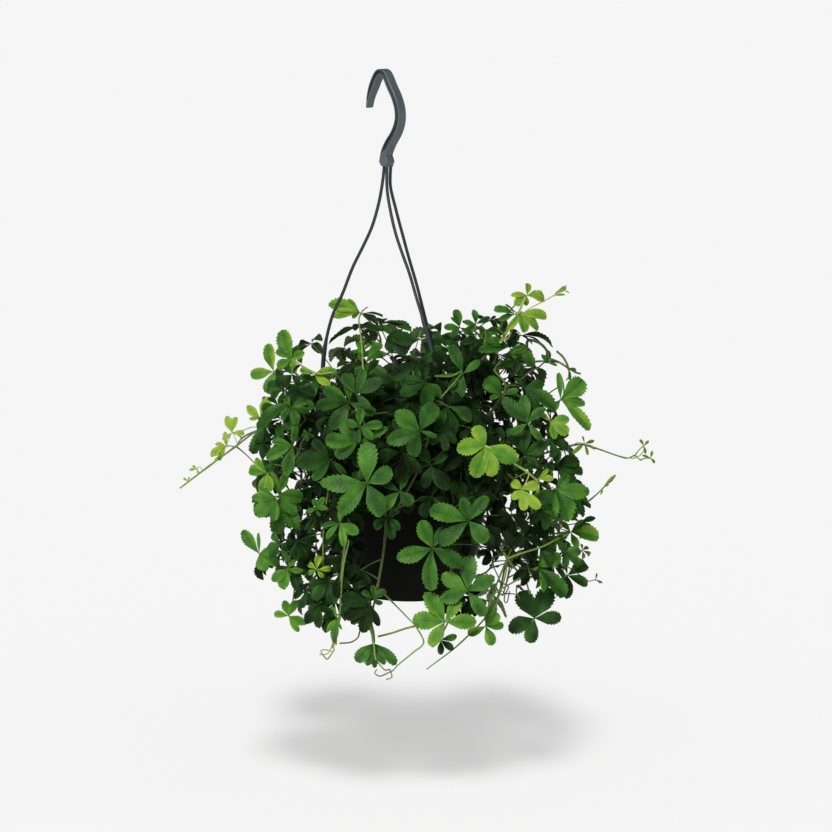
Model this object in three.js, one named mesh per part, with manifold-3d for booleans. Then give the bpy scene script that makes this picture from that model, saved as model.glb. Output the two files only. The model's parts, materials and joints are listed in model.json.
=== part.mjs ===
// A trailing grape ivy in a hanging pot: moulded hook, three strands, pot, soil and leafy vines.
// Millimetres, +Z up, with the origin on the hook's seat, the flat of its crown that rests on a rail.

import * as THREE from "three";
import { mergeVertices } from "three/addons/utils/BufferGeometryUtils.js";
import Module from "manifold-3d";

const wasm = await Module();
wasm.setup();

// Pot and soil

const AXIS_X = 22.6;
const RIM_Z = -341;
const POT_HEIGHT = 112;
const RIM_RADIUS = 75;
const BASE_RADIUS = 51;
const BAND_HEIGHT = 12;
const BAND_STEP = 3.2;
const FOOT_HEIGHT = 10;
const WALL = 2.2;
const POT_SIDES = 30;
const SOIL_DROP = 15;
const GAP = 0.3;

// Hook, a flat moulding turned about Z, drawn in its own plane as [sideways, height]

const HOOK_TURN = -45;
const HOOK_THICK = 9;
const HOOK_WIDTH = 5.4;
const HOOK_TIP_WIDTH = 1.8;
const HOOK_TIP_SHARE = 0.15;
const HOOK_FOOT_WIDTH = 7.4;
const HOOK_FOOT_SHARE = 0.35;
const HOOK_FLANGE = 1;
const HOOK_GROOVE_DEPTH = 2.8;
const HOOK_LINE = [
  [-17.3, -27.8], [-15.3, -19], [-10.9, -9], [-5.7, -0.3], [-2.8, 2.1], [0, 2.45], [3.2, 1.4],
  [6.4, -2.4], [10.2, -9], [16.5, -19], [20.2, -29], [20.2, -39], [16, -48.7], [8.4, -58.6],
  [3.7, -67.5], [3.3, -74],
];
const SEAT_WIDTH = 3.6;
const COLLAR_MIDDLE = 3.9;
const COLLAR_TOP = -69.5;
const COLLAR_BOTTOM = -77.6;
const COLLAR_WIDTH = 11.2;
const COLLAR_THICK = 9.6;
const COLLAR_FOOT_RADIUS = 6;
const SOCKET_DEPTH = 4;

// Strands, each as the [across, up] of its line in the front view from the rim's centre

const STRAND_THIN = 1.4;
const STRAND_THICK = 2;
const CLIP_WIDTH = 9;
const CLIP_LEG = 10;
const CLIP_THICK = 2.2;
const STRANDS = [
  {
    name: "strand_left",
    socket: [0.5, -1],
    foot: 180,
    thickFrom: 7,
    line: [[-24.6, 246], [-28.2, 227.6], [-33.8, 209], [-41.4, 192.4], [-50.5, 173.9], [-59.8, 150],
      [-68.2, 131.8], [-75.3, 101.6], [-77.6, 60], [-77.2, 24]],
  },
  {
    name: "strand_front",
    socket: [3, -6.2],
    foot: -60,
    thickFrom: 6,
    line: [[-20.2, 244], [-17.2, 223.9], [-12.5, 203.6], [-7, 186.9], [-0.4, 168.4], [6, 146.4],
      [12.3, 125.7], [21, 94], [31, 50], [37, 16]],
  },
  {
    name: "strand_back",
    socket: [6.1, -2.9],
    foot: 60,
    thickFrom: 6,
    line: [[-17.2, 246], [-12.5, 225.6], [-6.2, 201.9], [-1.2, 183.4], [5.4, 160.9], [10.2, 142.4],
      [16.8, 116.5], [25, 86], [34, 50], [37, 30]],
  },
];

// The front view: where the eye stands, and which way it looks

const EYE = new THREE.Vector3(28, -2166.6, 84.4);
const VIEW_TILT = 10;

// The bush, as a rounded body that the leaves lie in and on

const BUSH_Z = -379;
const BUSH_RADIUS = 150;
const BUSH_TOP = 185;
const BUSH_BOTTOM = 150;
const BUSH_TOP_POWER = 2.6;
const BUSH_BOTTOM_POWER = 2.2;

// Stems and leaves

const STEM_RADIUS = 1.3;
const STALK_RADIUS = 0.62;
const STALK_REACH = 22;
const ROOT_DEPTH = 12;
const HANG_GAP = 14;
const HANG_STEP = 40;
const LEAFLETS = [[0, 1], [57, 0.92], [122, 0.72], [238, 0.72], [303, 0.92]];
const BLADE_HALF = 0.8;
const BLADE_LIFT = 0.15;
const NOTCH = 0.1;
const STALK_NOTCH = 0.2;
const LARGE_REACH = 28;
const CLEAR_LEAF = 5;
const CLEAR_OWN = 2.6;
const CLEAR_STEM = 4.2;

// Half outlines of a leaflet as [share of its length, half width], from the notch to the tip

const OUTLINES = {
  large: { rib: 0.5, edge: [[0.34, 0.15], [0.66, 0.26], [0.84, 0.2]] },
  middle: { rib: 0.5, edge: [[0.64, 0.26]] },
  plain: { rib: 0, edge: [[0.64, 0.26]] },
};

// Places that the front view shows open, as [across, up, radius]. A leaf that is placed by rule
// takes the place that covers the least of them.

const OPEN_AIR = [
  [-14, -138, 15], [4, -132, 10], [-8, -160, 20], [8, -178, 16], [-50, -172, 12], [-88, -152, 14],
  [-120, -118, 10], [-130, -66, 7], [-138, -54, 7], [78, -92, 8], [81, -102, 8], [66, -89, 4],
  [90, -116, 10], [110, -109, 8], [84, -132, 14], [60, -166, 16], [36, -182, 18], [42, -157, 8],
  [-88, 102, 13], [-66, 116, 9], [-57, 111, 7], [-72, 93, 8], [-84, 122, 16], [-27, 92, 5],
  [24, 128, 16], [25, 117, 8], [-4, 134, 14], [112, 98, 9], [116, 90, 12], [122, 78, 10],
  [130, 64, 7], [64, 142, 12], [147, 20, 6], [146, 48, 6], [163, -12, 10], [-53, -146, 9],
  [-100, -14, 6], [-92, -148, 6], [-104, -113, 5], [-144, -14, 7], [-145, 2, 5], [-110, 42, 3],
];

// Vines seen in the front view. A leaf is [across, up, depth inside the bush, turn of its middle
// leaflet, its reach, how far it faces the eye, tone]. An entry with three numbers is a bare bend.

const VINES = [
  {
    name: "vine_front_left",
    root: [240, 40],
    main: [
      [-44, 33, 0, 30, 20, 0.8, 0.45],
      [-45, 20, 8, 172, 29, 0.85, 0.5],
      [-38, -17, -4, 308, 36, 0.95, 0.54],
      [-62, -52, 2, 268, 20, 0.8, 0.6],
      [-61, -103, 6],
      [-64, -136, 4, 262, 20, 0.5, 0.6],
      [-69, -162, 4],
    ],
    shoots: [
      {
        from: 0,
        line: [
          [-47, 62, 4, 20, 26, 0.6, 0.34],
          [-54, 55, 0, 190, 28, 0.85, 0.42],
          [-70, 4, 12, 180, 30, 0.85, 0.3],
          [-82, -39, 4, 60, 12, 0.5, 0.5],
          [-82, -93, 0, 75, 13, 0.8, 0.8],
          [-72, -104, 18, 230, 22, 0.8, 0.25],
          [-66, -122, 4, 195, 28, 0.85, 0.35],
        ],
      },
    ],
  },
  {
    name: "vine_front_middle",
    root: [275, 30],
    main: [
      [14, 72, 12, 205, 26, 0.6, 0.25],
      [33, 52, 8, 285, 28, 0.6, 0.25],
      [9, 29.5, 2, 148, 28, 0.95, 0.45],
      [19, -1, 24, 248, 24, 0.9, 0.15],
      [-9, -24, 6, 262, 20, 0.8, 0.4],
      [-20, -47, 16, 270, 19, 0.3, 0.3],
    ],
    shoots: [],
  },
  {
    name: "vine_front_right",
    root: [300, 40],
    main: [
      [67, 16, -2, 240, 29, 0.95, 0.7],
      [99, -22, -4, 288, 19, 0.95, 0.85],
      [113, -13, 4, 0, 14, 0.3, 0.95],
    ],
    shoots: [],
  },
  {
    name: "vine_front_right_low",
    root: [290, 56],
    main: [
      [52, -50, 0, 164, 36, 0.95, 0.55],
      [20, -74, 0, 267, 36, 0.95, 0.55],
      [51, -112, 2, 150, 29, 0.9, 0.52],
      [31, -139, 0, 174, 29, 0.8, 0.65],
      [27, -155, 2, 330, 16, 0.8, 0.4],
    ],
    shoots: [],
  },
  {
    name: "vine_front_low",
    root: [265, 55],
    main: [
      [-33, -118, 12, 95, 14, 0.4, 0.4],
      [-34, -125, 4, 240, 30, 0.8, 0.12],
      [-36, -140, 4],
      [-32, -158, 0, 268, 22, 0.7, 0.45],
    ],
    shoots: [
      { from: 0, line: [[-18, -119, 2], [5, -141, 2]] },
    ],
  },
  {
    name: "vine_top_left",
    root: [200, 25],
    main: [
      [-40, 88, 70, -20, 22, 0.6, 0.5],
      [-38, 96, 74, 40, 22, 0.4, 0.5],
      [-50, 90, 62, 180, 20, 0.7, 0.2],
      [-41, 100, 80, 175, 20, 0.3, 0.5],
      [-44, 122, 62, 200, 30, 0.15, 0.15],
      [-42, 133, 66, -10, 20, 0.1, 0.3],
      [-44, 134, 70, 168, 28, 0.7, 0.7],
    ],
    shoots: [
      { from: 3, line: [[-20, 113, 70, -10, 28, 0.5, 0.25], [-27, 124, 80, 0, 26, 0.35, 0.45]] },
    ],
  },
  {
    name: "vine_top_middle",
    root: [80, 15],
    main: [
      [8, 91, 38, 215, 32, 0.5, 0.5],
      [10, 118, 97, 20, 14, 0.4, 0.65],
    ],
    shoots: [
      { from: 0, line: [[26, 108, 60, 40, 22, 0.5, 0.3]] },
    ],
  },
  {
    name: "vine_top_right",
    root: [30, 35],
    main: [
      [47, 80, 38, 120, 28, 0.7, 0.4],
      [70, 100, 40],
      [88, 104, 25, 185, 30, 0.3, 0.4],
      [83, 112, 12],
      [92, 133, 8, 165, 18, 0.3, 0.5],
      [97, 133, -4, -40, 24, 0.5, 0.75],
      [103, 149, 0, 95, 15, 0.6, 0.82],
    ],
    shoots: [
      {
        from: 1,
        line: [
          [66, 118, 50, 30, 14, 0.75, 0.5],
          [70, 127, 50, -25, 18, 0.6, 0.15],
          [58, 124, 55, 90, 14, 0.65, 0.5],
          [44, 121, 60, 120, 18, 0.7, 0.45],
        ],
      },
    ],
  },
  {
    name: "vine_upper_left",
    root: [165, 45],
    main: [
      [-84, 79, 12, 0, 26, 0.15, 0.75],
      [-80, 72, 6, 205, 34, 0.55, 0.4],
      [-108, 72, 18, 150, 24, 0.5, 0.3],
      [-104, 93, 0, 118, 28, 0.75, 0.65],
      [-120, 82, -4, 183, 23, 0.8, 0.65],
    ],
    shoots: [],
  },
  {
    name: "vine_left",
    root: [190, 48],
    main: [
      [-104, 56, 4, 215, 32, 0.5, 0.35],
      [-105, 50, 0, -10, 19, 0.7, 0.45],
      [-90, 41, 28, 250, 24, 0.5, 0.1],
      [-113, 40, 14, 270, 22, 0.5, 0.3],
      [-128, 36, 4, 250, 28, 0.6, 0.3],
      [-132, 41, -4, 95, 19, 0.8, 0.82],
      [-155, 15, 0],
      [-178, -2, 0],
      [-203, -21, 0],
    ],
    shoots: [
      { from: 5, line: [[-157, 28, 0, 100, 15, 0.8, 0.95], [-162, 16, 0, 150, 13, 0.7, 0.95]] },
    ],
  },
  {
    name: "vine_left_middle",
    root: [215, 52],
    main: [
      [-97, 36, 30, 255, 14, 0.4, 0.35],
      [-89, 27, 16, 200, 12, 0.6, 0.4],
      [-103, 16, 4, 225, 27, 0.8, 0.5],
      [-120, 0, 16, 165, 19, 0.35, 0.35],
      [-126, -8, 0, 200, 17, 0.6, 0.75],
      [-116, -26, 6, -10, 25, 0.9, 0.5],
      [-118, -30, 0, 205, 22, 0.8, 0.55],
      [-112, -33, 10, 265, 28, 0.9, 0.55],
    ],
    shoots: [],
  },
  {
    name: "vine_left_low",
    root: [235, 54],
    main: [
      [-133, -79, 0, 62, 28, 0.7, 0.6],
      [-104, -90, 24, 290, 24, 0.4, 0.3],
      [-108, -92, 4, 225, 20, 0.8, 0.6],
      [-107, -134, 0, 112, 16, 0.8, 0.65],
    ],
    shoots: [],
  },
  {
    name: "vine_right_low",
    root: [325, 50],
    main: [
      [86, -83, 8],
      [113, -91, 10, 310, 34, 0.6, 0.5],
      [110, -136, 2, 68, 29, 0.95, 0.3],
    ],
    shoots: [
      { from: 0, line: [[70, -123, 4], [67, -143, 0, 340, 18, 0.9, 0.6]] },
      { from: 0, line: [[74, -125, 10], [45.5, -157, 6], [14.7, -181, 0]] },
    ],
  },
  {
    name: "vine_right_middle",
    root: [340, 45],
    main: [
      [104, 36, 10, 130, 31, 0.8, 0.45],
      [101, 8, 14, 75, 28, 0.9, 0.35],
      [122, 20, 14, -20, 26, 0.4, 0.35],
      [128, 0, 12, -20, 26, 0.4, 0.3],
      [128, -22, 6, 262, 34, 0.85, 0.45],
      [141, -26, 8, 5, 20, 0.4, 0.35],
      [143, -30, 0, 280, 26, 0.5, 0.4],
      [150, -52, 0, 25, 15, 0.3, 0.3],
    ],
    shoots: [
      {
        from: 2,
        line: [
          [145, 17, 0],
          [160, 15.6, 0],
          [191, 5.5, 0],
          [206.5, 16.4, 0, 80, 12, 0.7, 0.7],
          [212.3, 5.5, 0, -10, 12, 0.7, 0.7],
        ],
      },
    ],
  },
  {
    name: "vine_right_edge",
    root: [352, 54],
    main: [
      [142, -60, 0, -5, 24, 0.7, 0.65],
      [135, -78, 4, -25, 20, 0.7, 0.4],
      [152, -76, -4, -25, 9, 0.75, 0.75],
      [139, -98, 2, -40, 20, 0.6, 0.45],
    ],
    shoots: [
      { from: 0, line: [[160.5, -30.4, 0], [181, -10, 0]] },
    ],
  },
  {
    name: "vine_right_upper",
    root: [10, 40],
    main: [
      [82, 62, 14, 140, 24, 0.85, 0.5],
      [101, 68, 8, -30, 30, 0.6, 0.35],
      [85, 98, 24, 5, 25, 0.35, 0.4],
      [98, 114, 10, -20, 31, 0.2, 0.3],
    ],
    shoots: [
      { from: 1, line: [[124, 38, 2, -15, 17, 0.8, 0.7], [133, 57, 0, 50, 32, 0.7, 0.6]] },
      { from: 2, line: [[122, 90, 4], [131, 90, 2], [140, 85, 0], [150, 80, 0]] },
    ],
  },
];

// Vines laid out by rule from a seed: those at the back and sides, which the front view doesn't
// show, and short ones in the shade over the soil. Each has its direction from the pot's axis,
// the root's distance from it, the height of the top leaf and the number of leaves.

const BACK_VINES = [24, 48, 72, 96, 120, 144].map((azimuth, i) => ({
  name: `vine_back_${i + 1}`, azimuth, rootRadius: 44 + 10 * (i % 2), top: -236, leaves: 9,
}));
const INNER_VINES = [-18, -50, -85, -115, -150, -170].map((azimuth, i) => ({
  name: `vine_inner_${i + 1}`, azimuth, rootRadius: 13 + 7 * (i % 2), top: -250, leaves: 4,
}));
const BACK_DEPTH = [3, 34];
const INNER_DEPTH = [34, 26];
const RULE_STEP = 29;
const RULE_SWAY = 9;
const RULE_REACH = [22, 14];
const SEED = 20417;

// Small helpers

const rad = THREE.MathUtils.degToRad;

let seed = SEED;

function draw() {
  seed = (seed * 16807) % 2147483647;
  return seed / 2147483647;
}

function point(x, y, z) {
  return new THREE.Vector3(x, y, z);
}

function around(azimuth, radius, z) {
  return point(AXIS_X + radius * Math.cos(rad(azimuth)), radius * Math.sin(rad(azimuth)), z);
}

function radiusOf(p) {
  return Math.hypot(p.x - AXIS_X, p.y);
}

function outwardOf(p) {
  return point(p.x - AXIS_X, p.y, 0).normalize();
}

// A closed mesh as a solid that can be joined and cut

function solid(geometry) {
  const bare = geometry.clone();
  bare.deleteAttribute("normal");
  bare.deleteAttribute("uv");
  const merged = mergeVertices(bare, 1e-4);
  const mesh = new wasm.Mesh({
    numProp: 3,
    vertProperties: new Float32Array(merged.attributes.position.array),
    triVerts: new Uint32Array(merged.index.array),
  });
  return new wasm.Manifold(mesh);
}

function meshOf(body, name, material) {
  const { vertProperties, triVerts } = body.getMesh();
  const geometry = new THREE.BufferGeometry();
  geometry.setAttribute("position", new THREE.BufferAttribute(new Float32Array(vertProperties), 3));
  geometry.setIndex(new THREE.BufferAttribute(new Uint32Array(triVerts), 1));
  geometry.computeVertexNormals();
  const mesh = new THREE.Mesh(geometry, material);
  mesh.name = name;
  return mesh;
}

// A curve that is stepped evenly from bend to bend, so that a tube passes through every bend

class BendCurve extends THREE.CatmullRomCurve3 {
  getPointAt(u, target) {
    return this.getPoint(u, target);
  }

  getTangentAt(u, target) {
    return this.getTangent(u, target);
  }
}

function tube(points, radius, sides, stepsPerBend) {
  const curve = new BendCurve(points, false, "centripetal");
  const section = new THREE.Shape();
  for (let i = 0; i < sides; i += 1) {
    const a = (2 * Math.PI * i) / sides;
    if (i === 0) {
      section.moveTo(radius * Math.cos(a), radius * Math.sin(a));
    } else {
      section.lineTo(radius * Math.cos(a), radius * Math.sin(a));
    }
  }
  section.closePath();
  const steps = stepsPerBend * (points.length - 1);
  return new THREE.ExtrudeGeometry(section, { steps, extrudePath: curve });
}

// From the front view into space: across and up are measured square to the view through the rim's
// centre, and near runs along the sight line from the upright plane through the pot's axis

const PLANE_UP = point(0, Math.sin(rad(VIEW_TILT)), Math.cos(rad(VIEW_TILT)));

function seen(across, up, near) {
  const onPlane = point(AXIS_X + across, 0, RIM_Z).addScaledVector(PLANE_UP, up);
  const toEye = EYE.clone().sub(onPlane).normalize();
  return onPlane.addScaledVector(toEye, near - onPlane.y / toEye.y);
}

// Across and up of a point, where its sight line meets the upright plane through the pot's axis

const AHEAD = PLANE_UP.clone().cross(point(1, 0, 0));

function frontView(p) {
  const rim = point(AXIS_X, 0, RIM_Z);
  const ray = p.clone().sub(EYE);
  const share = rim.clone().sub(EYE).dot(AHEAD) / ray.dot(AHEAD);
  const met = EYE.clone().addScaledVector(ray, share).sub(rim);
  return [met.x, met.dot(PLANE_UP)];
}

// How many of the points lie where the front view is open

function openCount(points) {
  return points.filter((p) => {
    const [across, up] = frontView(p);
    return OPEN_AIR.some(([a, u, radius]) => Math.hypot(across - a, up - u) < radius);
  }).length;
}

// Radius of the bush at a height

function bushRadius(z) {
  const above = z > BUSH_Z;
  const share = Math.abs(z - BUSH_Z) / (above ? BUSH_TOP : BUSH_BOTTOM);
  const power = above ? BUSH_TOP_POWER : BUSH_BOTTOM_POWER;
  return share < 1 ? BUSH_RADIUS * Math.sqrt(1 - share ** power) : 0;
}

// How near the bush's surface comes to the eye on one sight line, found by halving

function surfaceNear(across, up) {
  const start = seen(across, up, 0);
  if (radiusOf(start) > bushRadius(start.z)) {
    return 0;
  }
  let low = 0;
  let high = 200;
  for (let i = 0; i < 30; i += 1) {
    const middle = (low + high) / 2;
    const p = seen(across, up, middle);
    if (radiusOf(p) > bushRadius(p.z)) {
      high = middle;
    } else {
      low = middle;
    }
  }
  return low;
}

// A leaf: its hub, the way it faces, the way its middle leaflet points, and how it bends

function makeLeaf(hub, aimAcross, aimUp, turn, reach, face, number) {
  const toEye = EYE.clone().sub(hub).normalize();
  const normal = outwardOf(hub).multiplyScalar(0.8);
  normal.z += 0.5;
  normal.normalize().multiplyScalar(1 - face).addScaledVector(toEye, face).normalize();
  const aim = aimAcross.clone().multiplyScalar(Math.cos(rad(turn)));
  aim.addScaledVector(aimUp, Math.sin(rad(turn)));
  const facing = Math.max(normal.dot(toEye), 0.4);
  const tilt = Math.min(Math.max(-aim.dot(normal) / facing, -1.5), 1.5);
  if (face > 0) {
    aim.addScaledVector(toEye, tilt);
  }
  aim.addScaledVector(normal, -aim.dot(normal)).normalize();
  const side = normal.clone().cross(aim);
  const droop = 0.18 + 0.3 * ((number * 0.618) % 1);
  const fold = 0.15 + 0.3 * ((number * 0.382 + 0.3) % 1);
  return { hub, normal, aim, side, reach, droop, fold };
}

// A point of one leaflet: how far along it, and how far to its side, both as shares of its length

function leafletPoint(leaf, leaflet, u, half) {
  const [angle, ratio] = leaflet;
  const length = leaf.reach * ratio;
  const cos = Math.cos(rad(angle));
  const sin = Math.sin(rad(angle));
  const lift = BLADE_LIFT * u - leaf.droop * u * u + leaf.fold * Math.abs(half);
  return leaf.hub.clone()
    .addScaledVector(leaf.aim, length * (u * cos - half * sin))
    .addScaledVector(leaf.side, length * (u * sin + half * cos))
    .addScaledVector(leaf.normal, length * lift);
}

function halfWidth(u) {
  if (u < 0.62) {
    return 0.265 * (0.12 + 0.88 * Math.sin((Math.PI / 2) * (u / 0.62)) ** 1.3);
  }
  return 0.265 * Math.sqrt(Math.max(0, 1 - ((u - 0.62) / 0.38) ** 2));
}

function leafKind(reach, face) {
  if (reach >= LARGE_REACH && face >= 0.7) {
    return OUTLINES.large;
  }
  return reach >= 22 && face >= 0.6 ? OUTLINES.middle : OUTLINES.plain;
}

// The leaf as one closed blade, thick at the hub and ribs, with five leaflets cut to the hub, and
// its stalk. Both faces share the points of the outline, and below the hub the three-sided stalk
// takes the place of the hub's point.

function leafGeometry(leaf, kind, stemPoint) {
  const lowered = (p, by) => p.clone().addScaledVector(leaf.normal, by);
  const points = [lowered(leaf.hub, BLADE_HALF)];
  const stalkAway = leaf.hub.clone().sub(stemPoint).normalize();
  [0, 120, 240].forEach((degrees) => {
    const ring = lowered(leaf.hub, -BLADE_HALF);
    ring.addScaledVector(leaf.aim, STALK_RADIUS * Math.cos(rad(degrees)));
    ring.addScaledVector(leaf.side, STALK_RADIUS * Math.sin(rad(degrees)));
    points.push(ring);
  });
  [1, 2, 3].forEach((i) => {
    const offset = points[i].clone().sub(lowered(leaf.hub, -BLADE_HALF));
    offset.addScaledVector(stalkAway, -offset.dot(stalkAway)).setLength(STALK_RADIUS);
    points.push(stemPoint.clone().add(offset));
  });
  const faces = [[4, 6, 5]];
  [[1, 2], [2, 3], [3, 1]].forEach(([a, b]) => faces.push([b, a, a + 3], [b, a + 3, b + 3]));
  const ribAt = (k) => points.length - 2 * (LEAFLETS.length - k);
  const ribs = kind.rib > 0;
  if (ribs) {
    LEAFLETS.forEach((leaflet) => {
      const p = leafletPoint(leaf, leaflet, kind.rib, 0);
      points.push(lowered(p, BLADE_HALF), lowered(p, -BLADE_HALF));
    });
  }
  const ribIndex = LEAFLETS.map((leaflet, k) => (ribs ? ribAt(k) : 0));
  const first = points.length;
  const perLeaflet = 2 * kind.edge.length + 2;
  const total = perLeaflet * LEAFLETS.length;
  const hubLink = [];
  LEAFLETS.forEach((leaflet, k) => {
    const before = LEAFLETS[(k + LEAFLETS.length - 1) % LEAFLETS.length];
    const gapAngle = ((leaflet[0] - before[0] + 360) % 360) / 2;
    const notchAngle = rad(leaflet[0] - gapAngle);
    const notch = leaf.reach * (gapAngle > 50 ? STALK_NOTCH : NOTCH);
    points.push(
      leaf.hub.clone()
        .addScaledVector(leaf.aim, notch * Math.cos(notchAngle))
        .addScaledVector(leaf.side, notch * Math.sin(notchAngle)),
    );
    kind.edge.forEach(([u, half]) => points.push(leafletPoint(leaf, leaflet, u, -half)));
    points.push(leafletPoint(leaf, leaflet, 1, 0));
    [...kind.edge].reverse().forEach(([u, half]) => {
      points.push(leafletPoint(leaf, leaflet, u, half));
    });
    const at = (i) => first + ((k * perLeaflet + i) % total);
    const last = perLeaflet - 1;
    if (ribs) {
      const rib = ribIndex[k];
      for (let i = 1; i < last; i += 1) {
        faces.push([rib, at(i), at(i + 1)], [rib + 1, at(i + 1), at(i)]);
      }
      hubLink.push([at(0), notchAngle, 0], [at(1), rad(leaflet[0]), 0], [rib, rad(leaflet[0]), 1]);
      hubLink.push([at(last), rad(leaflet[0]), 0]);
    } else {
      hubLink.push([at(0), notchAngle, 0]);
      for (let i = 1; i <= last; i += 1) {
        hubLink.push([at(i), rad(leaflet[0]), 0]);
      }
    }
  });
  const ringOf = (angle) => {
    const turn = (((angle * 180) / Math.PI + 60 + 720) % 360) / 120;
    return 1 + (Math.floor(turn) % 3);
  };
  hubLink.forEach(([a, angleA, doubledA], i) => {
    const [b, angleB, doubledB] = hubLink[(i + 1) % hubLink.length];
    faces.push([0, a, b]);
    const ringA = ringOf(angleA);
    const ringB = ringOf(angleB);
    faces.push([ringA, b + doubledB, a + doubledA]);
    if (ringA !== ringB) {
      faces.push([ringA, ringB, b + doubledB]);
    }
  });
  const geometry = new THREE.BufferGeometry();
  const positions = points.flatMap((p) => p.toArray());
  geometry.setAttribute("position", new THREE.BufferAttribute(new Float32Array(positions), 3));
  geometry.setIndex(faces.flat());
  return geometry;
}

// Points spread over a leaf, a stalk or a stem, which keep their distance from other vines

function leafSamples(leaf) {
  const points = [];
  LEAFLETS.forEach((leaflet) => {
    [0.17, 0.34, 0.51, 0.68, 0.84].forEach((u) => {
      [-0.75, 0, 0.75].forEach((share) => {
        points.push(leafletPoint(leaf, leaflet, u, share * halfWidth(u)));
      });
    });
    points.push(leafletPoint(leaf, leaflet, 1, 0));
  });
  return points;
}

function lineSamples(from, to) {
  const count = Math.max(2, Math.ceil(from.distanceTo(to) / 4));
  const points = [];
  for (let i = 1; i <= count; i += 1) {
    points.push(from.clone().lerp(to, i / count));
  }
  return points;
}

const taken = [];

function take(points, owner, kind) {
  points.forEach((p) => taken.push({ p, owner, kind }));
}

function isClear(points, owner, gap, ownGap) {
  const middle = points[0];
  let reach = 0;
  points.forEach((p) => { reach = Math.max(reach, p.distanceTo(middle)); });
  const close = taken.filter(({ p, owner: other, kind }) => {
    if (other === owner && (kind === "stem" || ownGap === 0)) {
      return false;
    }
    return p.distanceTo(middle) < reach + gap;
  });
  return points.every((a) => close.every(({ p, owner: other }) => {
    const least = other === owner ? ownGap : gap;
    return a.distanceToSquared(p) >= least * least;
  }));
}

// Leaves keep out of the pot and its clips, and off the pot's underside

function clearOfPot(points, margin) {
  const base = RIM_Z - POT_HEIGHT;
  return points.every((p) => {
    const r = radiusOf(p);
    const besidePot = p.z < RIM_Z + 4 + margin && p.z > base - margin;
    const underPot = p.z <= base - margin && p.z > base - 130;
    return !(besidePot && r < RIM_RADIUS + 3 + margin) && !(underPot && r < BASE_RADIUS + 12);
  });
}

// Hook: an outline offset to both sides of its middle line, with a groove in each face. The bar
// narrows towards its tip and widens towards the collar.

function hookHalf(u) {
  const tip = Math.min(u / HOOK_TIP_SHARE, 1);
  const foot = Math.max(1 - (1 - u) / HOOK_FOOT_SHARE, 0);
  const narrow = HOOK_TIP_WIDTH + (HOOK_WIDTH - HOOK_TIP_WIDTH) * tip;
  return (narrow + (HOOK_FOOT_WIDTH - HOOK_WIDTH) * foot) / 2;
}

function band(curve, inset, from, to, count) {
  const left = [];
  const right = [];
  for (let i = 0; i <= count; i += 1) {
    const u = from + ((to - from) * i) / count;
    const p = curve.getPointAt(u);
    const t = curve.getTangentAt(u);
    const half = hookHalf(u) - inset;
    left.push(new THREE.Vector2(p.x - half * t.y, p.y + half * t.x));
    right.push(new THREE.Vector2(p.x + half * t.y, p.y - half * t.x));
  }
  const first = curve.getPointAt(from);
  const back = curve.getTangentAt(from).multiplyScalar(hookHalf(from) - inset);
  const nose = new THREE.Vector2(first.x - back.x, first.y - back.y);
  return new THREE.Shape([...right, ...left.reverse(), nose]);
}

function flatBar(shape, from, to) {
  const geometry = new THREE.ExtrudeGeometry(shape, { depth: to - from, bevelEnabled: false });
  geometry.translate(0, 0, from);
  geometry.rotateX(Math.PI / 2);
  geometry.rotateZ(rad(HOOK_TURN));
  return solid(geometry);
}

function makeHook() {
  const line = HOOK_LINE.map(([s, z]) => point(s, z, 0));
  const curve = new THREE.CatmullRomCurve3(line, false, "centripetal");
  const half = HOOK_THICK / 2;
  let body = flatBar(band(curve, 0, 0, 1, 20), -half, half);
  const groove = band(curve, HOOK_FLANGE, 0.06, 0.93, 16);
  body = body.subtract(flatBar(groove, half - HOOK_GROOVE_DEPTH, half + 1));
  body = body.subtract(flatBar(groove, -half - 1, -half + HOOK_GROOVE_DEPTH));
  const seat = new THREE.Shape();
  seat.moveTo(-SEAT_WIDTH / 2, -4);
  seat.lineTo(SEAT_WIDTH / 2, -4);
  seat.lineTo(SEAT_WIDTH / 2, 0);
  seat.lineTo(-SEAT_WIDTH / 2, 0);
  body = body.subtract(flatBar(seat, -half - 1, half + 1));
  const collar = new THREE.Shape();
  const wide = COLLAR_WIDTH / 2;
  collar.moveTo(COLLAR_MIDDLE - wide, COLLAR_BOTTOM);
  collar.lineTo(COLLAR_MIDDLE + wide, COLLAR_BOTTOM);
  collar.lineTo(COLLAR_MIDDLE + wide, COLLAR_BOTTOM + 4.4);
  collar.lineTo(COLLAR_MIDDLE + wide - 1.9, COLLAR_TOP);
  collar.lineTo(COLLAR_MIDDLE - wide + 1.1, COLLAR_TOP);
  collar.lineTo(COLLAR_MIDDLE - wide, COLLAR_BOTTOM + 4.4);
  const cone = new THREE.CylinderGeometry(COLLAR_FOOT_RADIUS + 6, COLLAR_FOOT_RADIUS, 12, 16);
  cone.rotateX(Math.PI / 2);
  cone.translate(COLLAR_MIDDLE, 0, COLLAR_BOTTOM + 6);
  cone.rotateZ(rad(HOOK_TURN));
  const block = flatBar(collar, -COLLAR_THICK / 2, COLLAR_THICK / 2);
  body = body.add(block.intersect(solid(cone)));
  STRANDS.forEach(({ socket }) => {
    const hole = new THREE.CylinderGeometry(2.05, 2.05, SOCKET_DEPTH + 2, 6);
    hole.rotateX(Math.PI / 2);
    hole.translate(socket[0], socket[1], COLLAR_BOTTOM + (SOCKET_DEPTH - 2) / 2);
    body = body.subtract(solid(hole));
  });
  return body;
}

// Strands: a thin upper line, a thicker lower leg, and a clip bent over the rim

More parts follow.
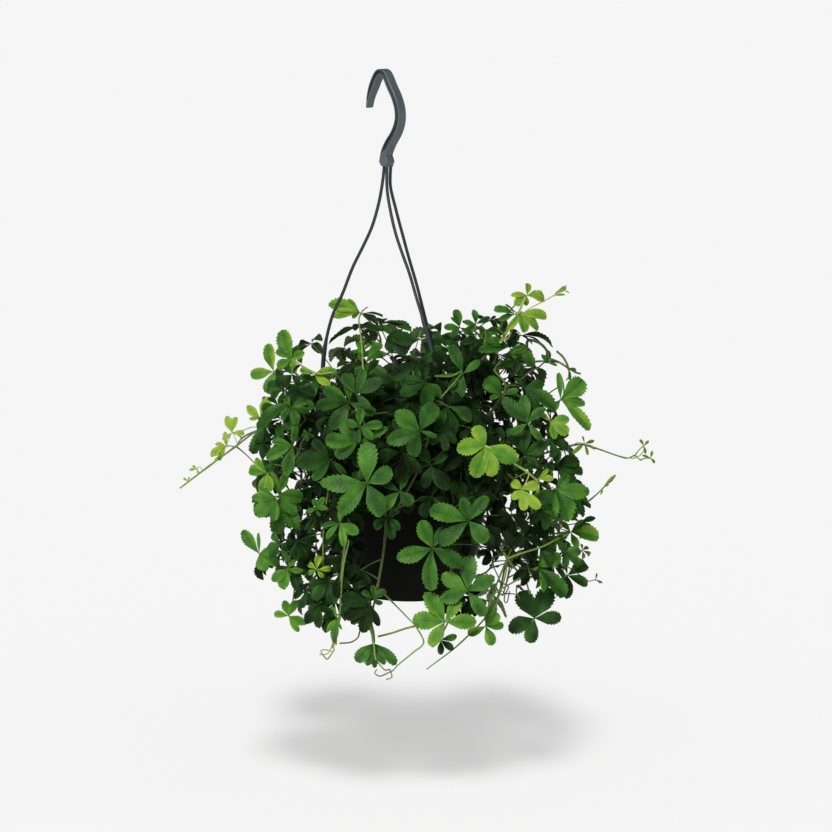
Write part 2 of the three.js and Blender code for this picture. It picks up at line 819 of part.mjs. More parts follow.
function strandLine({ socket, foot, line }) {
  const top = point(socket[0], socket[1], COLLAR_BOTTOM + SOCKET_DEPTH - 0.5);
  const leave = point(socket[0], socket[1], COLLAR_BOTTOM - 1);
  const end = around(foot, RIM_RADIUS + 1.4, RIM_Z + 2);
  const startUp = (leave.z - RIM_Z) / PLANE_UP.z;
  const endUp = 0;
  const bends = line.map(([across, up]) => {
    const share = (startUp - up) / (startUp - endUp);
    return seen(across, up, -end.y * share);
  });
  return [top, leave, ...bends, end];
}

function makeStrand(strand) {
  const points = strandLine(strand);
  const change = strand.thickFrom + 2;
  let body = solid(tube(points.slice(0, change + 1), STRAND_THIN, 6, 1));
  body = body.add(solid(tube(points.slice(change), STRAND_THICK, 6, 1)));
  const inner = RIM_RADIUS - WALL - 0.75;
  const outer = RIM_RADIUS + GAP;
  const clip = new THREE.Shape();
  clip.moveTo(inner - CLIP_THICK, RIM_Z - CLIP_LEG);
  clip.lineTo(inner, RIM_Z - CLIP_LEG);
  clip.lineTo(inner, RIM_Z + GAP);
  clip.lineTo(outer, RIM_Z + GAP);
  clip.lineTo(outer, RIM_Z - CLIP_LEG);
  clip.lineTo(outer + CLIP_THICK, RIM_Z - CLIP_LEG);
  clip.lineTo(outer + CLIP_THICK, RIM_Z + GAP + CLIP_THICK);
  clip.lineTo(inner - CLIP_THICK, RIM_Z + GAP + CLIP_THICK);
  const geometry = new THREE.ExtrudeGeometry(clip, { depth: CLIP_WIDTH, bevelEnabled: false });
  geometry.translate(0, 0, -CLIP_WIDTH / 2);
  geometry.rotateX(Math.PI / 2);
  geometry.rotateZ(rad(strand.foot));
  geometry.translate(AXIS_X, 0, 0);
  return body.add(solid(geometry));
}

// Pot and soil, turned about the pot's axis

function turned(profile) {
  const outline = profile.map(([r, z]) => new THREE.Vector2(r, z));
  const geometry = new THREE.LatheGeometry(outline, POT_SIDES);
  geometry.rotateX(Math.PI / 2);
  geometry.translate(AXIS_X, 0, 0);
  return solid(geometry);
}

function makePot() {
  const base = RIM_Z - POT_HEIGHT;
  const shoulder = RIM_RADIUS - BAND_STEP;
  return turned([
    [0, base],
    [BASE_RADIUS - 1, base],
    [BASE_RADIUS, base + 1],
    [BASE_RADIUS + 1.4, base + FOOT_HEIGHT],
    [BASE_RADIUS + 3, base + FOOT_HEIGHT + 0.8],
    [shoulder, RIM_Z - BAND_HEIGHT - 1],
    [RIM_RADIUS - 0.4, RIM_Z - BAND_HEIGHT],
    [RIM_RADIUS, RIM_Z - 0.8],
    [RIM_RADIUS - 0.8, RIM_Z],
    [RIM_RADIUS - WALL, RIM_Z],
    [RIM_RADIUS - WALL - 0.2, RIM_Z - BAND_HEIGHT],
    [RIM_RADIUS - WALL - BAND_STEP, RIM_Z - BAND_HEIGHT - 1],
    [BASE_RADIUS - 1, base + WALL + 0.4],
    [0, base + WALL + 0.4],
  ]);
}

function makeSoil(roots) {
  const base = RIM_Z - POT_HEIGHT;
  const top = RIM_Z - SOIL_DROP;
  const wallTop = RIM_RADIUS - WALL - BAND_STEP;
  const wallBottom = BASE_RADIUS - 1;
  const share = (SOIL_DROP - BAND_HEIGHT - 1) / (POT_HEIGHT - BAND_HEIGHT - WALL - 1.4);
  const edge = wallTop - (wallTop - wallBottom) * share;
  let body = turned([
    [0, base + WALL + 0.4 + GAP],
    [wallBottom - GAP, base + WALL + 0.4 + GAP],
    [edge - GAP - 0.1, top],
    [edge * 0.6, top + 2.2],
    [0, top + 3.6],
  ]);
  roots.forEach((root) => {
    const hole = new THREE.CylinderGeometry(2.4, 2.4, 40, 4);
    hole.rotateX(Math.PI / 2);
    hole.translate(root.x, root.y, top - ROOT_DEPTH - 1 + 20);
    body = body.subtract(solid(hole));
  });
  return body;
}

// Where a leaf would like to be: on its own sight line, or round the back by rule

const SLIDES = [0, -6, -12, -18, 6, -24, 12, -30];
const NUDGES = [
  [0, 0, 0], [-7, 0, 0], [7, 0, 0], [0, 7, 0], [0, -7, 0], [0, 0, 7], [0, 0, -7],
  [-7, 7, 0], [-7, -7, 0], [7, 7, 0], [7, -7, 0], [0, 7, 7], [0, -7, 7], [0, 7, -7],
  [0, -7, -7], [-7, 0, 7], [-7, 0, -7], [-14, 0, 0], [0, 14, 0], [0, -14, 0], [0, 0, 14],
  [0, 0, -14], [-14, 14, 0], [-14, -14, 0], [-21, 0, 0], [0, 21, 0], [0, -21, 0], [-21, 14, 0],
  [-21, -14, 0], [-14, 0, 14], [-14, 0, -14],
];

const ACROSS = point(1, 0, 0);

function wishes(entry, number) {
  if (entry.azimuth === undefined) {
    const [across, up, sunk, turn, reach, face] = entry;
    const near = surfaceNear(across, up) - sunk;
    if (entry.length < 4) {
      return [{ hub: seen(across, up, near), leaf: null }];
    }
    const list = [];
    [1, 0.85, 0.7].forEach((size) => SLIDES.forEach((slide) => {
      const hub = seen(across, up, near + slide);
      list.push({ hub, leaf: makeLeaf(hub, ACROSS, PLANE_UP, turn, reach * size, face, number) });
    }));
    return list;
  }
  const list = [];
  for (let i = 0; i < 12; i += 1) {
    const azimuth = entry.azimuth + 26 * (draw() - 0.5);
    const z = entry.z + 18 * (draw() - 0.5);
    const sunk = entry.depth[0] + entry.depth[1] * draw();
    const turn = -90 + 150 * (draw() - 0.5);
    const reach = RULE_REACH[0] + RULE_REACH[1] * draw();
    const hub = around(azimuth, Math.max(bushRadius(z) - sunk, 20), z);
    const outward = outwardOf(hub);
    const across = point(-outward.y, outward.x, 0);
    const up = outward.clone().multiplyScalar(-0.5);
    up.z = 0.8;
    list.push({ hub, leaf: makeLeaf(hub, across, up.normalize(), turn, reach, 0, number) });
  }
  return list;
}

// The stem passes behind each leaf, and never inside the pot

function outsidePot(p) {
  const r = radiusOf(p);
  if (p.z > RIM_Z + 14 || r >= RIM_RADIUS + 9) {
    return p;
  }
  const out = outwardOf(p).multiplyScalar(RIM_RADIUS + 9);
  return point(AXIS_X + out.x, out.y, p.z);
}

function behind(wish) {
  if (wish.leaf === null) {
    return wish.hub.clone();
  }
  const back = wish.leaf.normal.clone().multiplyScalar(-STALK_REACH);
  const r = radiusOf(wish.hub);
  if (r < 30) {
    back.z -= 8;
  }
  return outsidePot(wish.hub.clone().add(back));
}

// Set one leaf or bend: the first wish whose blade is clear, and the first stem point behind the
// blade from which both the stem back to its parent and the stalk are clear

function setNode(owner, parent, centre, list) {
  const out = outwardOf(centre);
  const along = point(-out.y, out.x, 0);
  for (const wish of list) {
    for (const [outBy, alongBy, upBy] of NUDGES) {
      const at = centre.clone().addScaledVector(out, outBy).addScaledVector(along, alongBy);
      at.z += upBy;
      const stem = lineSamples(parent, at);
      const stalk = wish.leaf === null ? [] : lineSamples(at, wish.hub);
      const all = [...stem, ...stalk];
      const before = wish.leaf !== null && at.clone().sub(wish.hub).dot(wish.leaf.normal) > 0;
      if (!before && clearOfPot(all, -2) && isClear(all, owner, CLEAR_STEM, 0)) {
        return { at, parent, leaf: wish.leaf, blade: wish.blade, stem, stalk };
      }
    }
  }
  return null;
}

// Grow one line of a vine from a start, leaf by leaf, keeping clear of what has already grown.
// A leaf that can't be reached from the last one grows on a side shoot from an earlier one.

function growLine(owner, start, entries, count) {
  const options = entries.map((entry, i) => wishes(entry, count + i));
  const wanted = options.map((list) => behind(list[0]));
  const nodes = [];
  const parents = [start];
  options.forEach((list, i) => {
    const goal = wanted[i].clone().multiplyScalar(0.5);
    goal.addScaledVector(i > 0 ? wanted[i - 1] : start, 0.25);
    goal.addScaledVector(i + 1 < wanted.length ? wanted[i + 1] : wanted[i], 0.25);
    const bare = list[0].leaf === null;
    const centre = bare ? wanted[i] : outsidePot(goal);
    const open = [];
    list.forEach(({ hub, leaf }) => {
      const blade = bare ? [] : leafSamples(leaf);
      if (bare || (clearOfPot(blade, 1) && isClear(blade, owner, CLEAR_LEAF, CLEAR_OWN))) {
        open.push({ hub, leaf, blade, inOpen: openCount(blade) });
      }
    });
    if (entries[i].azimuth !== undefined) {
      open.sort((a, b) => a.inOpen - b.inOpen);
    }
    let found = null;
    for (const parent of parents) {
      found = found || setNode(owner, parent, centre, open);
    }
    if (found) {
      take(found.blade, owner, "leaf");
      take(found.stem, owner, "stem");
      take(found.stalk, owner, "stem");
      nodes.push({ ...found, entry: entries[i] });
      parents.unshift(found.at);
    } else {
      nodes.push(null);
    }
  });
  return nodes;
}

// From the soil up to the crown, and over the rim where the vine hangs low

function firstBends(root, target) {
  const bottom = RIM_Z - SOIL_DROP - ROOT_DEPTH;
  const bends = [
    point(root.x, root.y, bottom),
    point(root.x, root.y, bottom + 12),
    point(root.x, root.y, RIM_Z + 6),
  ];
  if (target.z < RIM_Z + 24) {
    const over = outwardOf(target).multiplyScalar(RIM_RADIUS + 16);
    bends.push(point(AXIS_X + over.x, over.y, RIM_Z + 24));
    const beside = outwardOf(target).multiplyScalar(RIM_RADIUS + HANG_GAP);
    for (let z = RIM_Z - 6; z > target.z + 12; z -= HANG_STEP) {
      bends.push(point(AXIS_X + beside.x, beside.y, z));
    }
  }
  return bends;
}

function ruleVine({ name, azimuth, rootRadius, top, leaves }, depth) {
  const main = [];
  for (let i = 0; i < leaves; i += 1) {
    const sway = i % 2 === 0 ? RULE_SWAY : -RULE_SWAY;
    main.push({ azimuth: azimuth + sway, z: top - RULE_STEP * i, depth });
  }
  return { name, root: [azimuth, rootRadius], main, shoots: [] };
}

const DARK_LEAF = new THREE.Color("#2f4a24");
const LIGHT_LEAF = new THREE.Color("#6f9240");

function growVines() {
  const vines = [
    ...VINES,
    ...BACK_VINES.map((vine) => ruleVine(vine, BACK_DEPTH)),
    ...INNER_VINES.map((vine) => ruleVine(vine, INNER_DEPTH)),
  ];
  const starts = vines.map((vine, owner) => {
    const root = around(vine.root[0], vine.root[1], 0);
    const first = vine.main[0];
    const target = first.azimuth === undefined
      ? seen(first[0], first[1], surfaceNear(first[0], first[1]) - first[2])
      : around(first.azimuth, bushRadius(first.z), first.z);
    const bends = firstBends(root, target);
    bends.slice(1).forEach((p, i) => take(lineSamples(bends[i], p), owner, "stem"));
    return bends;
  });
  return vines.map((vine, owner) => {
    const bends = starts[owner];
    const start = bends[bends.length - 1];
    const main = growLine(owner, start, vine.main, 7 * owner);
    const shoots = vine.shoots.map(({ from, line }, i) => {
      const origin = main[from] ? main[from].at : start;
      return { origin, nodes: growLine(owner, origin, line, 7 * owner + 31 * (i + 1)) };
    });
    return { name: vine.name, bends, main, shoots };
  });
}

// A vine as one body: tubes from bend to bend, and at each bend a leaf on its stalk

function stemTube(path) {
  const end = path[path.length - 1];
  const before = path[path.length - 2];
  const past = end.clone().sub(before).setLength(1.2).add(end);
  return solid(tube([...path.slice(0, -1), past], STEM_RADIUS, 3, 1));
}

function makeVine({ bends, main, shoots }) {
  const parts = [];
  const lines = [{ start: bends, nodes: main }];
  shoots.forEach(({ origin, nodes }) => lines.push({ start: [origin], nodes }));
  lines.forEach(({ start, nodes }) => {
    const grown = nodes.filter((node) => node !== null);
    let path = [...start];
    grown.forEach(({ at, parent, leaf, entry }) => {
      if (parent !== path[path.length - 1]) {
        if (path.length > 1) {
          parts.push(stemTube(path));
        }
        path = [parent];
      }
      path.push(at);
      if (leaf !== null) {
        const face = entry.azimuth === undefined ? entry[5] : 0;
        parts.push(solid(leafGeometry(leaf, leafKind(leaf.reach, face), at)));
      }
    });
    if (path.length > 1) {
      parts.push(stemTube(path));
    }
  });
  return parts.reduce((body, piece) => body.add(piece));
}

function leafColour(main) {
  const tones = main.filter((entry) => entry.length > 3).map((entry) => entry[6]);
  const mean = tones.length ? tones.reduce((a, b) => a + b) / tones.length : 0.4;
  return DARK_LEAF.clone().lerp(LIGHT_LEAF, mean);
}

// The whole plant

const plant = new THREE.Group();

const hookPlastic = new THREE.MeshStandardMaterial({ color: "#596164", roughness: 0.45, metalness: 0 });
const strandPlastic = new THREE.MeshStandardMaterial({ color: "#333637", roughness: 0.5, metalness: 0 });
const potPlastic = new THREE.MeshStandardMaterial({ color: "#171a16", roughness: 0.4, metalness: 0 });
const soilEarth = new THREE.MeshStandardMaterial({ color: "#2a1f17", roughness: 1, metalness: 0 });

plant.add(meshOf(makeHook(), "hook", hookPlastic));
STRANDS.forEach((strand) => {
  plant.add(meshOf(makeStrand(strand), strand.name, strandPlastic));
});
plant.add(meshOf(makePot(), "pot", potPlastic));

STRANDS.forEach((strand, i) => {
  const points = strandLine(strand);
  points.slice(1).forEach((p, k) => take(lineSamples(points[k], p), -1 - i, "strand"));
});

const vines = growVines();
plant.add(meshOf(makeSoil(vines.map(({ bends }) => bends[0])), "soil", soilEarth));
vines.forEach((vine, i) => {
  const colour = i < VINES.length ? leafColour(VINES[i].main) : leafColour([]);
  const material = new THREE.MeshStandardMaterial({ color: colour, roughness: 0.55, metalness: 0 });
  plant.add(meshOf(makeVine(vine), vine.name, material));
});

export default plant;
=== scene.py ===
# %% [markdown]
# # A grape ivy in a hanging pot
# The real object is a trailing vine with five-part leaves, in a black moulded pot that hangs from
# three plastic strands and one moulded hook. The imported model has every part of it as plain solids.
# This lesson dresses that model. Each vine is grown again by the model's own rule, so that every
# leaf stays where it is, but its leaflets get teeth, folds and veins. The hook, the strands, the pot
# and the soil get rounder shapes and real finishes.
#
# Sizes are in millimetres, as a gardener would measure them, and become metres in the meshes.

import json
import math

import bpy
import numpy as np
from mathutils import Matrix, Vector

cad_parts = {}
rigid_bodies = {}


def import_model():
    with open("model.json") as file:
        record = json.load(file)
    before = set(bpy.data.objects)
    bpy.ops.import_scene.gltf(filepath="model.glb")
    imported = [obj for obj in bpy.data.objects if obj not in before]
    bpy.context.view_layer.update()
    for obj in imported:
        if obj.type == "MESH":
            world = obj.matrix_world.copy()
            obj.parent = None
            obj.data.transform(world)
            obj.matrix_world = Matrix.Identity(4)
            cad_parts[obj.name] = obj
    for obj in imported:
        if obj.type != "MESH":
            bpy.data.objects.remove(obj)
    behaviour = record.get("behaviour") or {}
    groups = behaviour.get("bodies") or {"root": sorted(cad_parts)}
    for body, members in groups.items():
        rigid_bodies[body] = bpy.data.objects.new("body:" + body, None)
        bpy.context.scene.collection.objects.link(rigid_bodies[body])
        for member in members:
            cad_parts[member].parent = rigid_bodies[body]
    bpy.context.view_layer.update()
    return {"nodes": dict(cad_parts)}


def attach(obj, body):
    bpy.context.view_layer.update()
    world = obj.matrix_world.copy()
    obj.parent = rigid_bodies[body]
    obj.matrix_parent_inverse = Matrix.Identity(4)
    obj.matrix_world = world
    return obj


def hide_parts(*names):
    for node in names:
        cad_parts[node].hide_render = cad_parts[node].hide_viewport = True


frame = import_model()
print("CAD nodes:", len(frame["nodes"]))

# %% [markdown]
# ## Sizes
# The pot is a common hanging pot, 15 cm across its rim. The origin is the hook's seat, the flat
# under its crown, so the pot's rim is far below zero. The same named sizes stand in the model.

# %% Sizes shared with the model
MM = 0.001

# The pot, and the play between two parts
AXIS_X = 22.6
RIM_Z = -341
POT_HEIGHT = 112
RIM_RADIUS = 75
BASE_RADIUS = 51
BAND_HEIGHT = 12
BAND_STEP = 3.2
FOOT_HEIGHT = 10
WALL = 2.2
SOIL_DROP = 15
GAP = 0.3
BASE_Z = RIM_Z - POT_HEIGHT

# The collar's foot, and how deep a strand sits in it
COLLAR_BOTTOM = -77.6
SOCKET_DEPTH = 4

# The eye of the front view, and how far it looks down
EYE = np.array([28, -2166.6, 84.4])
VIEW_TILT = 10

# The bush's widest place, and how it narrows above and below
BUSH_Z = -379
BUSH_RADIUS = 150
BUSH_TOP = 185
BUSH_BOTTOM = 150
BUSH_TOP_POWER = 2.6
BUSH_BOTTOM_POWER = 2.2

# Stalks, roots, and stems that hang beside the pot
STALK_REACH = 22
ROOT_DEPTH = 12
HANG_GAP = 14
HANG_STEP = 40

# A leaflet's rise, and the room round leaves and stems
BLADE_LIFT = 0.15
CLEAR_LEAF = 5
CLEAR_OWN = 2.6
CLEAR_STEM = 4.2
SEED = 20417
print("pot from", BASE_Z, "to", RIM_Z, "mm")

# %% [markdown]
# ## From the front view into space
# A leaf in the front view is known by how far across and how far up it is from the rim's centre.
# One more number, how near it comes to the eye, puts it in space. The line of sight is followed
# from the upright plane through the pot's axis, so a leaf keeps its place in the view wherever it
# lies in depth.

# %% Small geometry
PLANE_UP = np.array([0, math.sin(math.radians(VIEW_TILT)), math.cos(math.radians(VIEW_TILT))])
ACROSS = np.array([1.0, 0, 0])
UP = np.array([0, 0, 1.0])
AHEAD = np.cross(PLANE_UP, ACROSS)
RIM_CENTRE = np.array([AXIS_X, 0, RIM_Z])


def unit(v):
    """The vector, or each vector of an array, divided by its own length."""
    return v / np.linalg.norm(v, axis=-1, keepdims=True)


def around(azimuth, radius, z):
    """The point at that direction and distance from the pot's axis, at height z."""
    a = math.radians(azimuth)
    return np.array([AXIS_X + radius * math.cos(a), radius * math.sin(a), z])


def radius_of(p):
    """Distance from the pot's axis."""
    return np.hypot(p[..., 0] - AXIS_X, p[..., 1])


def outward_of(p):
    """Level direction from the pot's axis to the point."""
    return unit(np.array([p[0] - AXIS_X, p[1], 0]))


def full_turn(steps):
    """Equal angles all the way round, in radians."""
    return 2 * np.pi * np.arange(steps) / steps


def seen(across, up, near):
    """The point on the sight line through (across, up), near millimetres before the upright plane."""
    on_plane = np.array([AXIS_X + across, 0, RIM_Z]) + up * PLANE_UP
    to_eye = unit(EYE - on_plane)
    return on_plane + (near - on_plane[1] / to_eye[1]) * to_eye


print("rim's centre in space:", seen(0, 0, 0).round(1))

# %% [markdown]
# ## The bush
# The leaves of a pruned trailing plant lie on a rounded body, wider than the pot and hanging below
# its rim. Its radius at a height follows a rounded curve, steeper at the top than at the bottom.

# %% Radius and surface of the bush
NEAREST = 200
HALVINGS = 30


def bush_radius(z):
    """Radius at height z: the widest radius times the root of 1 - share ** power."""
    above = z > BUSH_Z
    share = abs(z - BUSH_Z) / (BUSH_TOP if above else BUSH_BOTTOM)
    power = BUSH_TOP_POWER if above else BUSH_BOTTOM_POWER
    return BUSH_RADIUS * math.sqrt(1 - share**power) if share < 1 else 0


def surface_near(across, up):
    """How near the bush's surface comes to the eye on one sight line, found by halving."""
    start = seen(across, up, 0)
    if radius_of(start) > bush_radius(start[2]):
        return 0
    low, high = 0, NEAREST
    for _ in range(HALVINGS):
        middle = (low + high) / 2
        p = seen(across, up, middle)
        if radius_of(p) > bush_radius(p[2]):
            high = middle
        else:
            low = middle
    return low


print("surface before the rim's centre:", round(surface_near(0, 0), 1), "mm")

# %% [markdown]
# ## Where the leaves are
# Each vine has its root in the soil, [direction from the pot's axis, distance], and its leaves in
# the order in which they grow. A leaf is [across, up, depth inside the bush, turn of its middle
# leaflet, reach, how far it faces the eye, tone from dark to bright]. The tone is partly the leaf's
# own colour and partly painted shade: leaves that lie in shadow get low tones. Three numbers alone
# are a bare bend of the stem. A side shoot is the number of the leaf that it starts from, with leaves
# of its own. The vines that the front view doesn't show are set out by a rule with seeded draws.


# %% Vines
def plan_vine(name, root, main, *shoots):
    """A vine before it grows: its name, its root, its main line of leaves and its side shoots."""
    return {"name": name, "root": root, "main": main, "shoots": list(shoots)}


VINES = [
    plan_vine("vine_front_left", [240, 40], [
        [-44, 33, 0, 30, 20, 0.8, 0.45], [-45, 20, 8, 172, 29, 0.85, 0.5],
        [-38, -17, -4, 308, 36, 0.95, 0.45], [-62, -52, 2, 268, 20, 0.8, 0.6], [-61, -103, 6],
        [-64, -136, 4, 262, 20, 0.5, 0.6], [-69, -162, 4],
    ], (0, [
        [-47, 62, 4, 20, 26, 0.6, 0.34], [-54, 55, 0, 190, 28, 0.85, 0.42],
        [-70, 4, 12, 180, 30, 0.85, 0.3], [-82, -39, 4, 60, 12, 0.5, 0.5], [-82, -93, 0, 75, 13, 0.8, 0.8],
        [-72, -104, 18, 230, 22, 0.8, 0.25], [-66, -122, 4, 195, 28, 0.85, 0.35],
    ])),
    plan_vine("vine_front_middle", [275, 30], [
        [14, 72, 12, 205, 26, 0.6, 0.25], [33, 52, 8, 285, 28, 0.6, 0.25],
        [9, 29.5, 2, 148, 28, 0.95, 0.45], [19, -1, 24, 248, 24, 0.9, 0.15],
        [-9, -24, 6, 262, 20, 0.8, 0.4], [-20, -47, 16, 270, 19, 0.3, 0.3],
    ]),
    plan_vine("vine_front_right", [300, 40], [
        [67, 16, -2, 240, 29, 0.95, 0.7], [99, -22, -4, 288, 19, 0.95, 0.85],
        [113, -13, 4, 0, 14, 0.3, 0.95],
    ]),
    plan_vine("vine_front_right_low", [290, 56], [
        [52, -50, 0, 164, 36, 0.95, 0.45], [20, -74, 0, 267, 36, 0.95, 0.44],
        [51, -112, 2, 150, 29, 0.9, 0.52], [31, -139, 0, 174, 29, 0.8, 0.65],
        [27, -155, 2, 330, 16, 0.8, 0.4],
    ]),
    plan_vine("vine_front_low", [265, 55], [
        [-33, -118, 12, 95, 14, 0.4, 0.4], [-34, -125, 4, 240, 30, 0.8, 0.12], [-36, -140, 4],
        [-32, -158, 0, 268, 22, 0.7, 0.45],
    ], (0, [[-18, -119, 2], [5, -141, 2]])),
    plan_vine("vine_top_left", [200, 25], [
        [-40, 88, 70, -20, 22, 0.6, 0.5], [-38, 96, 74, 40, 22, 0.4, 0.5], [-50, 90, 62, 180, 20, 0.7, 0.2],
        [-41, 100, 80, 175, 20, 0.3, 0.5], [-44, 122, 62, 200, 30, 0.15, 0.15],
        [-42, 133, 66, -10, 20, 0.1, 0.3], [-44, 134, 70, 168, 28, 0.7, 0.7],
    ], (3, [[-20, 113, 70, -10, 28, 0.5, 0.25], [-27, 124, 80, 0, 26, 0.35, 0.45]])),
    plan_vine("vine_top_middle", [80, 15], [
        [8, 91, 38, 215, 32, 0.5, 0.28], [10, 118, 97, 20, 14, 0.4, 0.65],
    ], (0, [[26, 108, 60, 40, 22, 0.5, 0.3]])),
    plan_vine("vine_top_right", [30, 35], [
        [47, 80, 38, 120, 28, 0.7, 0.4], [70, 100, 40], [88, 104, 25, 185, 30, 0.3, 0.4], [83, 112, 12],
        [92, 133, 8, 165, 18, 0.3, 0.5], [97, 133, -4, -40, 24, 0.5, 0.75],
        [103, 149, 0, 95, 15, 0.6, 0.82],
    ], (1, [
        [66, 118, 50, 30, 14, 0.75, 0.5], [70, 127, 50, -25, 18, 0.6, 0.15],
        [58, 124, 55, 90, 14, 0.65, 0.5], [44, 121, 60, 120, 18, 0.7, 0.45],
    ])),
    plan_vine("vine_upper_left", [165, 45], [
        [-84, 79, 12, 0, 26, 0.15, 0.75], [-80, 72, 6, 205, 34, 0.55, 0.4],
        [-108, 72, 18, 150, 24, 0.5, 0.3], [-104, 93, 0, 118, 28, 0.75, 0.65],
        [-120, 82, -4, 183, 23, 0.8, 0.65],
    ]),
    plan_vine("vine_left", [190, 48], [
        [-104, 56, 4, 215, 32, 0.5, 0.35], [-105, 50, 0, -10, 19, 0.7, 0.45],
        [-90, 41, 28, 250, 24, 0.5, 0.1], [-113, 40, 14, 270, 22, 0.5, 0.3],
        [-128, 36, 4, 250, 28, 0.6, 0.3], [-132, 41, -4, 95, 19, 0.8, 0.82], [-155, 15, 0], [-178, -2, 0],
        [-203, -21, 0],
    ], (5, [[-157, 28, 0, 100, 15, 0.8, 0.95], [-162, 16, 0, 150, 13, 0.7, 0.95]])),
    plan_vine("vine_left_middle", [215, 52], [
        [-97, 36, 30, 255, 14, 0.4, 0.35], [-89, 27, 16, 200, 12, 0.6, 0.4],
        [-103, 16, 4, 225, 27, 0.8, 0.5], [-120, 0, 16, 165, 19, 0.35, 0.35],
        [-126, -8, 0, 200, 17, 0.6, 0.75], [-116, -26, 6, -10, 25, 0.9, 0.5],
        [-118, -30, 0, 205, 22, 0.8, 0.55], [-112, -33, 10, 265, 28, 0.9, 0.55],
    ]),
    plan_vine("vine_left_low", [235, 54], [
        [-133, -79, 0, 62, 28, 0.7, 0.6], [-104, -90, 24, 290, 24, 0.4, 0.3],
        [-108, -92, 4, 225, 20, 0.8, 0.6], [-107, -134, 0, 112, 16, 0.8, 0.65],
    ]),
    plan_vine("vine_right_low", [325, 50], [
        [86, -83, 8], [113, -91, 10, 310, 34, 0.6, 0.5], [110, -136, 2, 68, 29, 0.95, 0.3],
    ], (0, [[70, -123, 4], [67, -143, 0, 340, 18, 0.9, 0.6]]), (0, [
        [74, -125, 10], [45.5, -157, 6], [14.7, -181, 0],
    ])),
    plan_vine("vine_right_middle", [340, 45], [
        [104, 36, 10, 130, 31, 0.8, 0.45], [101, 8, 14, 75, 28, 0.9, 0.35],
        [122, 20, 14, -20, 26, 0.4, 0.35], [128, 0, 12, -20, 26, 0.4, 0.3],
        [128, -22, 6, 262, 34, 0.85, 0.45], [141, -26, 8, 5, 20, 0.4, 0.35],
        [143, -30, 0, 280, 26, 0.5, 0.4], [150, -52, 0, 25, 15, 0.3, 0.3],
    ], (2, [
        [145, 17, 0], [160, 15.6, 0], [191, 5.5, 0], [206.5, 16.4, 0, 80, 12, 0.7, 0.7],
        [212.3, 5.5, 0, -10, 12, 0.7, 0.7],
    ])),
    plan_vine("vine_right_edge", [352, 54], [
        [142, -60, 0, -5, 24, 0.7, 0.65], [135, -78, 4, -25, 20, 0.7, 0.4],
        [152, -76, -4, -25, 9, 0.75, 0.75], [139, -98, 2, -40, 20, 0.6, 0.45],
    ], (0, [[160.5, -30.4, 0], [181, -10, 0]])),
    plan_vine("vine_right_upper", [10, 40], [
        [82, 62, 14, 140, 24, 0.85, 0.5], [101, 68, 8, -30, 30, 0.6, 0.35], [85, 98, 24, 5, 25, 0.35, 0.4],
        [98, 114, 10, -20, 31, 0.2, 0.3],
    ], (1, [[124, 38, 2, -15, 17, 0.8, 0.7], [133, 57, 0, 50, 32, 0.7, 0.6]]), (2, [
        [122, 90, 4], [131, 90, 2], [140, 85, 0], [150, 80, 0],
    ])),
]

# Vines by rule: directions, least and spread of a leaf's depth and reach, step down, and sway
BACK_AZIMUTHS = [24, 48, 72, 96, 120, 144]
INNER_AZIMUTHS = [-18, -50, -85, -115, -150, -170]
BACK_DEPTH = [3, 34]
INNER_DEPTH = [34, 26]
RULE_REACH = [22, 14]
RULE_STEP = 29
RULE_SWAY = 9
print("vines seen from the front:", len(VINES))

# %% [markdown]
# ## One leaf
# A leaf of this vine is a hub with five leaflets spread like the fingers of a hand. It faces partly
# outwards and up, as leaves turn to the light, and partly the way that the front view shows. Its
# middle leaflet points along the turn that the view gives. Each leaflet rises a little, droops
# towards its tip and is folded along its midrib. A leaflet is given by its angle from the middle
# one and its length as a share of the leaf's reach.

# %% The rule of a leaf
LEAFLETS = [(0, 1), (57, 0.92), (122, 0.72), (238, 0.72), (303, 0.92)]
FACE_OUT = 0.8
FACE_UP = 0.5
LEAST_FACING = 0.4
MOST_TILT = 1.5
LEAST_DROOP = 0.18
LEAST_FOLD = 0.15
BEND_SPREAD = 0.3
WIDEST_AT = 0.62
HALF_WIDTH = 0.265
FOOT_SHARE = 0.12
SAMPLE_STEP = 4


def make_leaf(hub, aim_across, aim_up, turn, reach, face, number):
    """The hub, the three axes of a leaf, its reach, and how much it droops and folds. Steps of
    0.618 and 0.382 of the whole spread droop and fold evenly over the leaves' numbers."""
    to_eye = unit(EYE - hub)
    normal = outward_of(hub) * FACE_OUT
    normal[2] += FACE_UP
    normal = unit(unit(normal) * (1 - face) + to_eye * face)
    aim = aim_across * math.cos(math.radians(turn)) + aim_up * math.sin(math.radians(turn))
    facing = max(normal @ to_eye, LEAST_FACING)
    tilt = min(max(-(aim @ normal) / facing, -MOST_TILT), MOST_TILT)
    if face > 0:
        aim = aim + to_eye * tilt
    aim = unit(aim - normal * (aim @ normal))
    return {
        "hub": hub, "normal": normal, "aim": aim, "side": np.cross(normal, aim), "reach": reach,
        "droop": LEAST_DROOP + BEND_SPREAD * ((number * 0.618) % 1),
        "fold": LEAST_FOLD + BEND_SPREAD * ((number * 0.382 + 0.3) % 1),
    }


def leaflet_points(leaf, angle, ratio, u, half):
    """Points of one leaflet from shares of its length: u along it, half to its side."""
    length = leaf["reach"] * ratio
    cos, sin = math.cos(math.radians(angle)), math.sin(math.radians(angle))
    lift = BLADE_LIFT * u - leaf["droop"] * u * u + leaf["fold"] * np.abs(half)
    return (
        leaf["hub"]
        + np.multiply.outer(length * (u * cos - half * sin), leaf["aim"])
        + np.multiply.outer(length * (u * sin + half * cos), leaf["side"])
        + np.multiply.outer(length * lift, leaf["normal"])
    )


